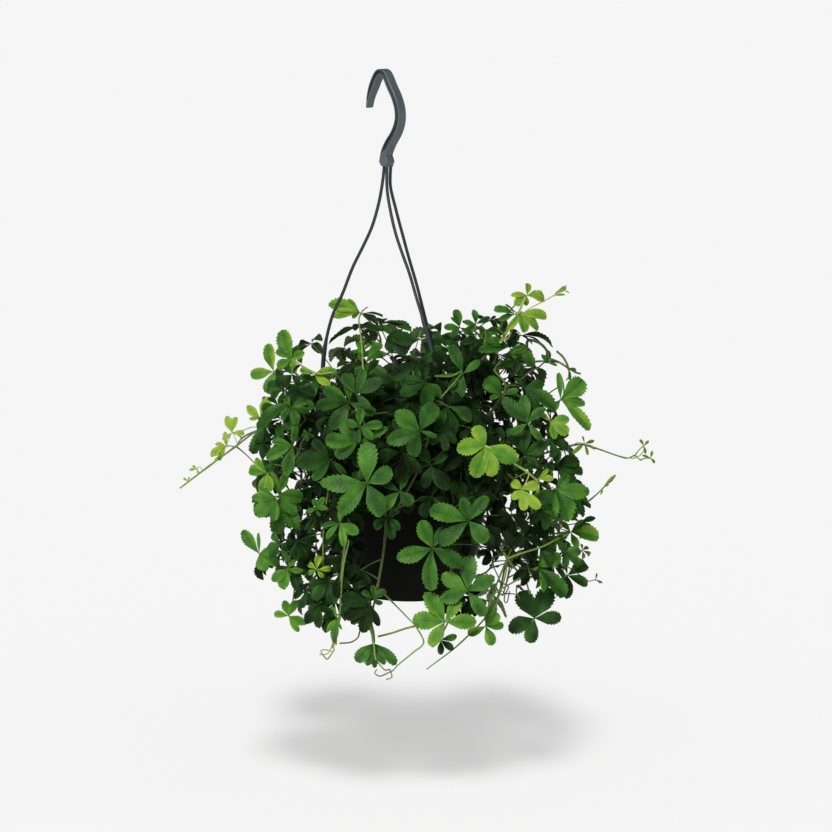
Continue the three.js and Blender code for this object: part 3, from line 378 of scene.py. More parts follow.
def half_width(u):
    """Half width of a smooth leaflet: a sine that rises to the widest place, then a quarter ellipse."""
    rise = np.sin(math.pi / 2 * np.minimum(u / WIDEST_AT, 1)) ** 1.3
    fall = 1 - ((np.maximum(u, WIDEST_AT) - WIDEST_AT) / (1 - WIDEST_AT)) ** 2
    rise = FOOT_SHARE + (1 - FOOT_SHARE) * rise
    return HALF_WIDTH * np.where(u < WIDEST_AT, rise, np.sqrt(np.maximum(0, fall)))


SAMPLE_U = np.repeat([0.17, 0.34, 0.51, 0.68, 0.84], 3)
SAMPLE_HALF = np.tile([-0.75, 0, 0.75], 5) * half_width(SAMPLE_U)


def leaf_samples(leaf):
    """Points spread over a leaf, which keep their distance from other vines."""
    u = np.append(SAMPLE_U, 1)
    half = np.append(SAMPLE_HALF, 0)
    return np.concatenate([leaflet_points(leaf, a, r, u, half) for a, r in LEAFLETS])


def line_samples(start, end):
    """Points at most one sample step apart from start to end, without start."""
    count = max(2, math.ceil(np.linalg.norm(end - start) / SAMPLE_STEP))
    return start + np.arange(1, count + 1)[:, None] / count * (end - start)


print("widest half width:", float(half_width(np.array([WIDEST_AT]))[0]), "of the length")

# %% [markdown]
# ## Keeping clear
# Leaves and stems of different vines don't grow through each other. Every leaf and stem leaves its
# points in one store, and the next one is set only where its own points keep their distance.

# %% The store of what has grown
ROOM_ABOVE_RIM = 4
ROOM_BESIDE_POT = 3
ROOM_BELOW_POT = 130
ROOM_ROUND_BASE = 12
store = {"points": np.zeros((0, 3)), "owner": np.zeros(0, int), "stem": np.zeros(0, bool)}


def take(points, owner, is_stem):
    """Adds the points of a leaf or stem to the store, with the vine that they belong to."""
    if len(points):
        store["points"] = np.concatenate([store["points"], points])
        store["owner"] = np.append(store["owner"], np.full(len(points), owner))
        store["stem"] = np.append(store["stem"], np.full(len(points), is_stem))


def is_clear(points, owner, gap, own_gap):
    """True if every point keeps gap from other vines, and own_gap from its own vine's leaves."""
    middle = points[0]
    reach = np.linalg.norm(points - middle, axis=1).max()
    own = store["owner"] == owner
    left_out = own & store["stem"] if own_gap else own
    near = np.linalg.norm(store["points"] - middle, axis=1) < reach + gap
    close = near & ~left_out
    if not close.any():
        return True
    least = np.where(own[close], own_gap, gap) ** 2
    apart = ((points[:, None] - store["points"][close][None]) ** 2).sum(2)
    return bool((apart >= least).all())


def clear_of_pot(points, margin):
    """True if no point is inside the pot, too close beside it, or under its base."""
    r, z = radius_of(points), points[:, 2]
    height = (z < RIM_Z + ROOM_ABOVE_RIM + margin) & (z > BASE_Z - margin)
    beside = height & (r < RIM_RADIUS + ROOM_BESIDE_POT + margin)
    under = (z <= BASE_Z - margin) & (z > BASE_Z - ROOM_BELOW_POT) & (r < BASE_RADIUS + ROOM_ROUND_BASE)
    return not (beside | under).any()


print("store is ready")

# %% [markdown]
# ## Growing the vines
# A vine starts in its hole in the soil, rises to the crown, and leans over the rim where it hangs
# low. Then it goes from leaf to leaf. Each leaf has a list of places where it would like to be, best
# first, and takes the first one that is clear and that the stem can reach. A leaf that the front
# view shows may slide along its sight line and shrink a little. A leaf by rule prefers a place where
# it doesn't cover the open air round the plant, which is a list of circles, [across, up, radius].

# %% Places where a leaf would like to be
SLIDES = [0, -6, -12, -18, 6, -24, 12, -30]
SMALLER = (1, 0.85, 0.7)
RULE_TRIES = 12
AZIMUTH_SPREAD = 26
HEIGHT_SPREAD = 18
TURN_SPREAD = 150
AXIS_ROOM = 20
OPEN_AIR = [
    [-14, -138, 15], [4, -132, 10], [-8, -160, 20], [8, -178, 16], [-50, -172, 12], [-88, -152, 14],
    [-120, -118, 10], [-130, -66, 7], [-138, -54, 7], [78, -92, 8], [81, -102, 8], [66, -89, 4],
    [90, -116, 10], [110, -109, 8], [84, -132, 14], [60, -166, 16], [36, -182, 18], [42, -157, 8],
    [-88, 102, 13], [-66, 116, 9], [-57, 111, 7], [-72, 93, 8], [-84, 122, 16], [-27, 92, 5], [24, 128, 16],
    [25, 117, 8], [-4, 134, 14], [112, 98, 9], [116, 90, 12], [122, 78, 10], [130, 64, 7], [64, 142, 12],
    [147, 20, 6], [146, 48, 6], [163, -12, 10], [-53, -146, 9], [-100, -14, 6], [-92, -148, 6],
    [-104, -113, 5], [-144, -14, 7], [-145, 2, 5], [-110, 42, 3],
]
seed = SEED


def front_view(points):
    """Across and up of points: where their sight lines meet the upright plane through the pot."""
    rays = points - EYE
    met = EYE + ((RIM_CENTRE - EYE) @ AHEAD) / (rays @ AHEAD)[:, None] * rays - RIM_CENTRE
    return np.stack([met @ ACROSS, met @ PLANE_UP], -1)


def open_count(points, places=OPEN_AIR):
    """How many of the points lie, in the front view, in the circles where nothing may cover it."""
    if len(points) == 0:
        return 0
    circles = np.array(places, float)
    apart = np.linalg.norm(front_view(points)[:, None] - circles[None, :, :2], axis=2)
    return int((apart < circles[:, 2]).any(1).sum())


def draw():
    """The next seeded draw between 0 and 1: the old seed times 16807, and what is left over."""
    global seed
    seed = (seed * 16807) % 2147483647
    return seed / 2147483647


def wishes(entry, number):
    """Places for one leaf or bend, best first: along its sight line, or round the back by rule."""
    if isinstance(entry, list):
        across, up, sunk = entry[:3]
        near = surface_near(across, up) - sunk
        if len(entry) < 4:
            return [{"hub": seen(across, up, near), "leaf": None}]
        places = []
        for size in SMALLER:
            for slide in SLIDES:
                hub = seen(across, up, near + slide)
                leaf = make_leaf(hub, ACROSS, PLANE_UP, entry[3], entry[4] * size, entry[5], number)
                places.append({"hub": hub, "leaf": leaf})
        return places
    places = []
    for _ in range(RULE_TRIES):
        azimuth = entry["azimuth"] + AZIMUTH_SPREAD * (draw() - 0.5)
        z = entry["z"] + HEIGHT_SPREAD * (draw() - 0.5)
        sunk = entry["depth"][0] + entry["depth"][1] * draw()
        turn = -90 + TURN_SPREAD * (draw() - 0.5)
        reach = RULE_REACH[0] + RULE_REACH[1] * draw()
        hub = around(azimuth, max(bush_radius(z) - sunk, AXIS_ROOM), z)
        outward = outward_of(hub)
        across = np.array([-outward[1], outward[0], 0])
        up = unit(outward * -0.5 + UP * 0.8)
        places.append({"hub": hub, "leaf": make_leaf(hub, across, up, turn, reach, 0, number)})
    return places


print("places for one leaf:", len(SLIDES) * len(SMALLER))

# %% [markdown]
# ## Stems from leaf to leaf
# A stem passes behind each of its leaves, one stalk's reach from the blade, and never runs through
# the pot. Where its point isn't clear, it is nudged by [outwards, round the pot, up]. Where no nudge
# helps, the stem branches off at one of its earlier points.

# %% Stem points behind the leaves
CROWN_RISE = 14
STEM_BESIDE = 9
OVER_RIM = 24
OVER_REACH = 16
NEAR_AXIS = 30
AXIS_DROP = 8
NUDGES = [
    [0, 0, 0], [-7, 0, 0], [7, 0, 0], [0, 7, 0], [0, -7, 0], [0, 0, 7], [0, 0, -7], [-7, 7, 0], [-7, -7, 0],
    [7, 7, 0], [7, -7, 0], [0, 7, 7], [0, -7, 7], [0, 7, -7], [0, -7, -7], [-7, 0, 7], [-7, 0, -7],
    [-14, 0, 0], [0, 14, 0], [0, -14, 0], [0, 0, 14], [0, 0, -14], [-14, 14, 0], [-14, -14, 0], [-21, 0, 0],
    [0, 21, 0], [0, -21, 0], [-21, 14, 0], [-21, -14, 0], [-14, 0, 14], [-14, 0, -14],
]


def outside_pot(p):
    """The point itself, or pushed out to beside the pot where it would be inside."""
    if p[2] > RIM_Z + CROWN_RISE or radius_of(p) >= RIM_RADIUS + STEM_BESIDE:
        return p
    out = outward_of(p) * (RIM_RADIUS + STEM_BESIDE)
    return np.array([AXIS_X + out[0], out[1], p[2]])


def behind(wish):
    """Where the stem passes a leaf: one stalk's reach behind its face."""
    if wish["leaf"] is None:
        return wish["hub"].copy()
    back = wish["leaf"]["normal"] * -STALK_REACH
    if radius_of(wish["hub"]) < NEAR_AXIS:
        back[2] -= AXIS_DROP
    return outside_pot(wish["hub"] + back)


def set_node(owner, parent, centre, places):
    """The first place whose stem and stalk are clear, with the stem's point, or None."""
    out = outward_of(centre)
    along = np.array([-out[1], out[0], 0])
    for wish in places:
        for out_by, along_by, up_by in NUDGES:
            at = centre + out * out_by + along * along_by
            at[2] += up_by
            stem = line_samples(parent, at)
            stalk = np.zeros((0, 3)) if wish["leaf"] is None else line_samples(at, wish["hub"])
            both = np.concatenate([stem, stalk])
            before = wish["leaf"] is not None and (at - wish["hub"]) @ wish["leaf"]["normal"] > 0
            if not before and clear_of_pot(both, -2) and is_clear(both, owner, CLEAR_STEM, 0):
                return {**wish, "at": at, "parent": parent, "stem": stem, "stalk": stalk}
    return None


def grow_line(owner, start, entries, count):
    """Grows one line of a vine leaf by leaf. A leaf out of reach grows from an earlier point."""
    options = [wishes(entry, count + i) for i, entry in enumerate(entries)]
    wanted = [behind(places[0]) for places in options]
    nodes, parents = [], [start]
    for i, places in enumerate(options):
        before = wanted[i - 1] if i > 0 else start
        after = wanted[i + 1] if i + 1 < len(wanted) else wanted[i]
        bare = places[0]["leaf"] is None
        centre = wanted[i] if bare else outside_pot(wanted[i] * 0.5 + before * 0.25 + after * 0.25)
        open_places = []
        for wish in places:
            blade = np.zeros((0, 3)) if bare else leaf_samples(wish["leaf"])
            if bare or (clear_of_pot(blade, 1) and is_clear(blade, owner, CLEAR_LEAF, CLEAR_OWN)):
                open_places.append({**wish, "blade": blade, "open": open_count(blade)})
        if isinstance(entries[i], dict):
            open_places.sort(key=lambda wish: wish["open"])
        found = None
        for parent in parents:
            found = found or set_node(owner, parent, centre, open_places)
        if found:
            take(found["blade"], owner, False)
            take(found["stem"], owner, True)
            take(found["stalk"], owner, True)
            seen_leaf = isinstance(entries[i], list) and not bare
            tone = entries[i][6] if seen_leaf else None
            place = tuple(entries[i][:2]) if seen_leaf else None
            nodes.append({**found, "tone": tone, "place": place})
            parents.insert(0, found["at"])
        else:
            nodes.append(None)
    return nodes


def first_bends(root, target):
    """From the soil up to the crown, and over the rim where the vine hangs low."""
    bottom = RIM_Z - SOIL_DROP - ROOT_DEPTH
    bends = [np.array([root[0], root[1], z]) for z in (bottom, bottom + 12, RIM_Z + 6.0)]
    if target[2] < RIM_Z + OVER_RIM:
        over = outward_of(target) * (RIM_RADIUS + OVER_REACH)
        bends.append(np.array([AXIS_X + over[0], over[1], RIM_Z + OVER_RIM]))
        beside = outward_of(target) * (RIM_RADIUS + HANG_GAP)
        z = RIM_Z - 6
        while z > target[2] + 12:
            bends.append(np.array([AXIS_X + beside[0], beside[1], z]))
            z -= HANG_STEP
    return bends


print("one stem point for each leaf, with", len(NUDGES), "places to try")

# %% [markdown]
# ## The strands' lines
# The strands are set first, because the leaves keep clear of them too. Each strand leaves the hook's
# collar at its socket, bows out a little as the front view shows, and ends in a clip over the rim,
# at its foot's direction. Its line is a list of bends, [across, up], and it thickens at one of them.

# %% Lines of the three strands
STRANDS = [
    {"name": "strand_left", "socket": [0.5, -1], "foot": 180, "thick_from": 7, "line": [
        [-24.6, 246], [-28.2, 227.6], [-33.8, 209], [-41.4, 192.4], [-50.5, 173.9],
        [-59.8, 150], [-68.2, 131.8], [-75.3, 101.6], [-77.6, 60], [-77.2, 24],
    ]},
    {"name": "strand_front", "socket": [3, -6.2], "foot": -60, "thick_from": 6, "line": [
        [-20.2, 244], [-17.2, 223.9], [-12.5, 203.6], [-7, 186.9], [-0.4, 168.4],
        [6, 146.4], [12.3, 125.7], [21, 94], [31, 50], [37, 16],
    ]},
    {"name": "strand_back", "socket": [6.1, -2.9], "foot": 60, "thick_from": 6, "line": [
        [-17.2, 246], [-12.5, 225.6], [-6.2, 201.9], [-1.2, 183.4], [5.4, 160.9],
        [10.2, 142.4], [16.8, 116.5], [25, 86], [34, 50], [37, 30],
    ]},
]


def strand_line(strand):
    """Points from the socket in the collar, along the seen line, to the clip on the rim."""
    x, y = strand["socket"]
    top = np.array([x, y, COLLAR_BOTTOM + SOCKET_DEPTH - 0.5])
    leave = np.array([x, y, COLLAR_BOTTOM - 1.0])
    end = around(strand["foot"], RIM_RADIUS + 1.4, RIM_Z + 2)
    start_up = (leave[2] - RIM_Z) / PLANE_UP[2]
    bends = [seen(a, up, -end[1] * (start_up - up) / start_up) for a, up in strand["line"]]
    return np.array([top, leave, *bends, end])


for number, strand in enumerate(STRANDS):
    points = strand_line(strand)
    for start, end in zip(points, points[1:]):
        take(line_samples(start, end), -1 - number, False)
print("points that keep the leaves off the strands:", len(store["points"]))

# %% [markdown]
# ## Growing
# All roots and hanging stems are set before the first leaf, so that no leaf takes their room. Then
# the vines grow in order: the seen ones, the back, the inside.


# %% Grow every vine
def rule_vine(name, azimuth, root_radius, top, leaves, depth):
    """A vine by rule: its leaves go down one side, swaying to the left and right."""
    main = []
    for i in range(leaves):
        sway = RULE_SWAY if i % 2 == 0 else -RULE_SWAY
        main.append({"azimuth": azimuth + sway, "z": top - RULE_STEP * i, "depth": depth})
    return plan_vine(name, [azimuth, root_radius], main)


plan = list(VINES)
for i, azimuth in enumerate(BACK_AZIMUTHS):
    plan.append(rule_vine(f"vine_back_{i + 1}", azimuth, 44 + 10 * (i % 2), -236, 9, BACK_DEPTH))
for i, azimuth in enumerate(INNER_AZIMUTHS):
    plan.append(rule_vine(f"vine_inner_{i + 1}", azimuth, 13 + 7 * (i % 2), -250, 4, INNER_DEPTH))


def first_target(entry):
    """Where the first leaf of a vine is wanted."""
    if isinstance(entry, list):
        return seen(entry[0], entry[1], surface_near(entry[0], entry[1]) - entry[2])
    return around(entry["azimuth"], bush_radius(entry["z"]), entry["z"])


def grow_all():
    """Grows the vines in order and gives each one's first bends, main line and side shoots."""
    starts = []
    for owner, vine in enumerate(plan):
        root = around(vine["root"][0], vine["root"][1], 0)
        bends = first_bends(root, first_target(vine["main"][0]))
        for start, end in zip(bends, bends[1:]):
            take(line_samples(start, end), owner, True)
        starts.append(bends)
    grown = []
    for owner, vine in enumerate(plan):
        start = starts[owner][-1]
        main = grow_line(owner, start, vine["main"], 7 * owner)
        shoots = []
        for i, (origin_at, line) in enumerate(vine["shoots"]):
            origin = main[origin_at]["at"] if main[origin_at] else start
            shoots.append((origin, grow_line(owner, origin, line, 7 * owner + 31 * (i + 1))))
        grown.append({
            "name": vine["name"], "bends": starts[owner], "main": main, "shoots": shoots,
        })
    return grown


def leaf_nodes(vine):
    """The stem's points that carry a leaf, those of the main line first."""
    lines = [vine["main"], *[nodes for _, nodes in vine["shoots"]]]
    return [node for line in lines for node in line if node and node["leaf"]]


vines = grow_all()
leaf_count = sum(len(leaf_nodes(vine)) for vine in vines)
print("vines:", len(vines), "leaves:", leaf_count)

# %% [markdown]
# ## From points to a mesh
# Blender keeps a mesh as points, faces and, for each corner of a face, numbers such as a UV place.
# The shapes below are worked out as whole arrays. A batch holds many equal shapes, such as all the
# leaflets of a vine, so their faces are the faces of one shape, counted up for every next one.


# %% Batches of shapes, and one mesh from them
def batch(points, quads, tris, uv, tone, under=None, finish=0):
    """Equal shapes as one part. points is (shapes, points, 3), quads and tris are one shape's
    faces, uv is (points, 2) or (shapes, points, 2), and tone has one number for each shape, or
    one for each of its points."""
    shapes, count = points.shape[:2]
    step = (np.arange(shapes) * count)[:, None, None]
    faces = len(quads) + len(tris)
    if np.ndim(tone) < 2:
        tone = np.reshape(tone, (-1, 1))
    return {
        "points": points.reshape(-1, 3),
        "quads": (np.reshape(quads, (-1, 4)).astype(int)[None] + step).reshape(-1, 4),
        "tris": (np.reshape(tris, (-1, 3)).astype(int)[None] + step).reshape(-1, 3),
        "uv": np.broadcast_to(uv, (shapes, count, 2)).reshape(-1, 2),
        "tone": np.broadcast_to(tone, (shapes, count)).ravel(),
        "under": np.zeros(shapes * faces) if under is None else arrange(under, shapes, len(quads)),
        "finish": finish,
    }


def arrange(under, shapes, quad_count):
    """A value for each face, with all the quads of all shapes before all their triangles."""
    quads = np.tile(under[:quad_count], shapes)
    return np.concatenate([quads, np.tile(under[quad_count:], shapes)])


def plain_part(points, quads, tris):
    """Equal shapes for a finish that needs neither a UV map nor a tone."""
    return batch(points, quads, tris, np.zeros((points.shape[1], 2)), 0.0)


def make_piece(name, parts, materials, replaces=(), sharp=50):
    """One object from several parts, in metres, with its UV map and its tone and under values."""
    points = np.concatenate([part["points"] for part in parts]) * MM
    starts = np.cumsum([0] + [len(part["points"]) for part in parts[:-1]])
    corners, sizes, under, finish = [], [], [], []
    for start, part in zip(starts, parts):
        for key in ("quads", "tris"):
            faces = part[key]
            corners.append((faces + start).ravel())
            sizes.append(np.full(len(faces), faces.shape[1]))
            finish.append(np.full(len(faces), part["finish"]))
        under.append(part["under"])
    corners, sizes = np.concatenate(corners), np.concatenate(sizes)
    mesh = bpy.data.meshes.new(name)
    mesh.vertices.add(len(points))
    mesh.vertices.foreach_set("co", points.ravel())
    mesh.loops.add(len(corners))
    mesh.loops.foreach_set("vertex_index", corners)
    mesh.polygons.add(len(sizes))
    mesh.polygons.foreach_set("loop_start", np.cumsum(sizes) - sizes)
    mesh.polygons.foreach_set("material_index", np.concatenate(finish))
    mesh.update(calc_edges=True)
    uv = np.concatenate([part["uv"] for part in parts])[corners]
    mesh.uv_layers.new(name="along").data.foreach_set("uv", uv.ravel())
    tone = np.concatenate([part["tone"] for part in parts])
    mesh.attributes.new("tone", "FLOAT", "POINT").data.foreach_set("value", tone)
    mesh.attributes.new("under", "FLOAT", "FACE").data.foreach_set("value", np.concatenate(under))
    mesh.polygons.foreach_set("use_smooth", np.ones(len(sizes), bool))
    mesh.set_sharp_from_angle(angle=math.radians(sharp))
    mesh.validate()
    for material in materials:
        mesh.materials.append(material)
    piece = bpy.data.objects.new(name, mesh)
    bpy.context.collection.objects.link(piece)
    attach(piece, "root")
    if replaces:
        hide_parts(*replaces)
    made["triangles"] += int((sizes - 2).sum())
    return piece


made = {"triangles": 0}
print("mesh helpers are ready")

# %% [markdown]
# ## Colours and nodes
# Colours are written as the screen shows them, and one function turns them into the linear values
# that Blender computes with. The other small functions each add one shader node and give back its
# output, so that a finish can be written like a sum.


# %% Colour and node helpers
def linear(colour):
    """A hex colour as linear red, green, blue and one: each share to the power of the sRGB curve."""
    shares = [int(colour[i:i + 2], 16) / 255 for i in (1, 3, 5)]
    return (*[s / 12.92 if s <= 0.04045 else ((s + 0.055) / 1.055) ** 2.4 for s in shares], 1)


def add(tree, kind, inputs=None, **settings):
    """Adds one node. inputs gives a value or a socket for each of its input sockets."""
    node = tree.nodes.new(kind)
    for key, value in settings.items():
        setattr(node, key, value)
    for key, value in (inputs or {}).items():
        if isinstance(value, bpy.types.NodeSocket):
            tree.links.new(value, node.inputs[key])
        else:
            node.inputs[key].default_value = value
    return node


def new_material(name):
    """An empty node material, with its tree and its Object coordinates."""
    material = bpy.data.materials.new(name)
    material.use_nodes = True
    material.node_tree.nodes.clear()
    place = add(material.node_tree, "ShaderNodeTexCoord").outputs["Object"]
    return material, material.node_tree, place


def finished(material, shader):
    """The material, once the shader is linked to its surface."""
    add(material.node_tree, "ShaderNodeOutputMaterial", {0: shader.outputs[0]})
    return material


def principled(material, settings):
    """The material, finished with the Principled shader and its settings."""
    return finished(material, add(material.node_tree, "ShaderNodeBsdfPrincipled", settings))


def ramp(tree, factor, stops):
    """A colour that runs through the stops, each a place from 0 to 1 with its hex colour."""
    node = add(tree, "ShaderNodeValToRGB", {0: factor})
    elements = node.color_ramp.elements
    while len(elements) < len(stops):
        elements.new(0.5)
    for element, (place, colour) in zip(elements, stops):
        element.position = place
        element.color = linear(colour)
    return node.outputs[0]


def mixed(tree, factor, a, b):
    """The colour a where factor is 0 and b where it is 1."""
    return add(tree, "ShaderNodeMix", {0: factor, 6: a, 7: b}, data_type="RGBA").outputs[2]


def sums(tree, operation, a, b=0.0, c=0.0):
    """One math node on two values, or on three for MULTIPLY_ADD, which gives a * b + c."""
    return add(tree, "ShaderNodeMath", {0: a, 1: b, 2: c}, operation=operation).outputs[0]


def noise(tree, place, scale, detail):
    """Cloudy values round a half, with about scale clouds to the metre."""
    inputs = {"Vector": place, "Scale": scale, "Detail": detail}
    return add(tree, "ShaderNodeTexNoise", inputs).outputs[0]


def mapped(tree, value, start, end, at_start, at_end):
    """The value's way from start to end, as the way from at_start to at_end."""
    inputs = {0: value, 1: start, 2: end, 3: at_start, 4: at_end}
    return add(tree, "ShaderNodeMapRange", inputs).outputs[0]


def bumped(tree, height, strength, distance):
    """The surface's normal, tilted as by a relief of that height, distance metres deep."""
    inputs = {"Strength": strength, "Distance": distance, "Height": height}
    return add(tree, "ShaderNodeBump", inputs).outputs[0]


print("black pot plastic in linear light:", [round(c, 4) for c in linear("#14170f")[:3]])

# %% [markdown]
# ## The leaf's finish
# A grape ivy leaf is a thin waxy skin over green flesh. Young leaves are yellow-green and old ones
# deep green, and the ramp's darkest end, near black, is painted shade for the leaves deep inside the
# bush, which are also the least glossy. The skin gives a soft broad gloss, pale veins run from the
# midrib to the teeth, the flesh between them is slightly raised, and the underside is paler and dull.
# Some light comes through the blade, so a Translucent shader is mixed in. The colour follows the tone
# that each leaf carries, and the veins follow the leaflet's own UV map.

# %% Leaf material
VEIN_PITCH = 0.107


def leaf_material():
    """Leaf flesh: tone to colour, veins and raised flesh from the UV map, a paler underside. The
    saw is 0 on a side vein and a half midway to the next one."""
    material, tree, place = new_material("leaf_waxy_green")
    tone = add(tree, "ShaderNodeAttribute", attribute_name="tone").outputs["Fac"]
    under = add(tree, "ShaderNodeAttribute", attribute_name="under").outputs["Fac"]
    uv = add(tree, "ShaderNodeUVMap", uv_map="along").outputs[0]
    split = add(tree, "ShaderNodeSeparateXYZ", {0: uv})
    along, aside = split.outputs[0], split.outputs[1]
    cloud = sums(tree, "SUBTRACT", noise(tree, place, 90, 3), 0.48)
    shifted = sums(tree, "MULTIPLY_ADD", cloud, 0.5, sums(tree, "MULTIPLY_ADD", aside, 0.1, tone))
    # Tone to colour: the ramp's darkest stops are painted shade, for the leaves deep inside the bush.
    fresh = ramp(tree, shifted, [
        (0.0, "#0b1208"), (0.22, "#1a3213"), (0.46, "#2d591c"), (0.7, "#528928"), (1.0, "#9cba3e"),
    ])
    lean = sums(tree, "MULTIPLY", aside, 0.16)
    phase = sums(tree, "DIVIDE", sums(tree, "SUBTRACT", along, lean), VEIN_PITCH)
    saw = sums(tree, "ABSOLUTE", sums(tree, "SUBTRACT", sums(tree, "FRACT", phase), 0.5))
    side_vein = sums(tree, "MULTIPLY", mapped(tree, saw, 0.09, 0.0, 0.0, 1.0), 0.55)
    vein = sums(tree, "MAXIMUM", side_vein, mapped(tree, aside, 0.09, 0.02, 0.0, 1.0))
    lighter = mixed(tree, 0.45, fresh, linear("#b9cf86"))
    veined = mixed(tree, sums(tree, "MULTIPLY", vein, 0.1), fresh, lighter)
    colour = mixed(tree, under, veined, mixed(tree, 0.4, fresh, linear("#8ea477")))
    flesh = sums(tree, "SUBTRACT", sums(tree, "MULTIPLY", saw, 1.2), vein)
    fine = sums(tree, "MULTIPLY", noise(tree, place, 900, 2), 0.6)
    blade = add(tree, "ShaderNodeBsdfPrincipled", {
        "Base Color": colour,
        "Roughness": mapped(tree, under, 0.0, 1.0, 0.42, 0.7),
        "IOR": 1.45,
        "Specular IOR Level": mapped(tree, tone, 0.05, 0.4, 0.03, 0.2),
        "Normal": bumped(tree, sums(tree, "ADD", flesh, fine), 0.5, 0.0005),
    })
    through = mixed(tree, 0.5, colour, linear("#7fb52a"))
    glow = add(tree, "ShaderNodeBsdfTranslucent", {"Color": through})
    both = add(tree, "ShaderNodeMixShader", {0: 0.12, 1: blade.outputs[0], 2: glow.outputs[0]})
    return finished(material, both)


leaf_green = leaf_material()
print("leaf veins every", VEIN_PITCH, "of a leaflet's length")

# %% [markdown]
# ## The stem's finish
# Young stems and leaf stalks are smooth and green, and turn brownish at the foot of the plant. The
# tendrils and growing tips are pale yellow-green. The tone again picks the place on one ramp, and a
# small noise, about 3 mm from cloud to cloud, mottles the bark and roughens it a little.


# %% Stem material
def stem_material():
    """Stem skin: tone to colour, shifted a little by the mottling, which is also the relief."""
    material, tree, place = new_material("stem_green_bark")
    tone = add(tree, "ShaderNodeAttribute", attribute_name="tone").outputs["Fac"]
    mottling = noise(tree, place, 350, 2)
    shifted = sums(tree, "MULTIPLY_ADD", sums(tree, "SUBTRACT", mottling, 0.5), 0.3, tone)
    colour = ramp(tree, shifted, [
        (0.0, "#2b2a16"), (0.35, "#41561f"), (0.7, "#77913a"), (1.0, "#b5c25c"),
    ])
    return principled(material, {
        "Base Color": colour, "Roughness": 0.5, "IOR": 1.45,
        "Normal": bumped(tree, mottling, 0.4, 0.0003),
    })


stem_green = stem_material()
print("stem material is ready")

# %% [markdown]
# ## Leaflets that the front view shows
# The large leaves in front are not regular stars. Their leaflets turn, fold and hang each in its own
# way. For these leaves the tip of each leaflet is named as seen from the front, [across, up, widest
# width as a share of its length], under the place of the leaf's hub. The other leaves follow the rule.

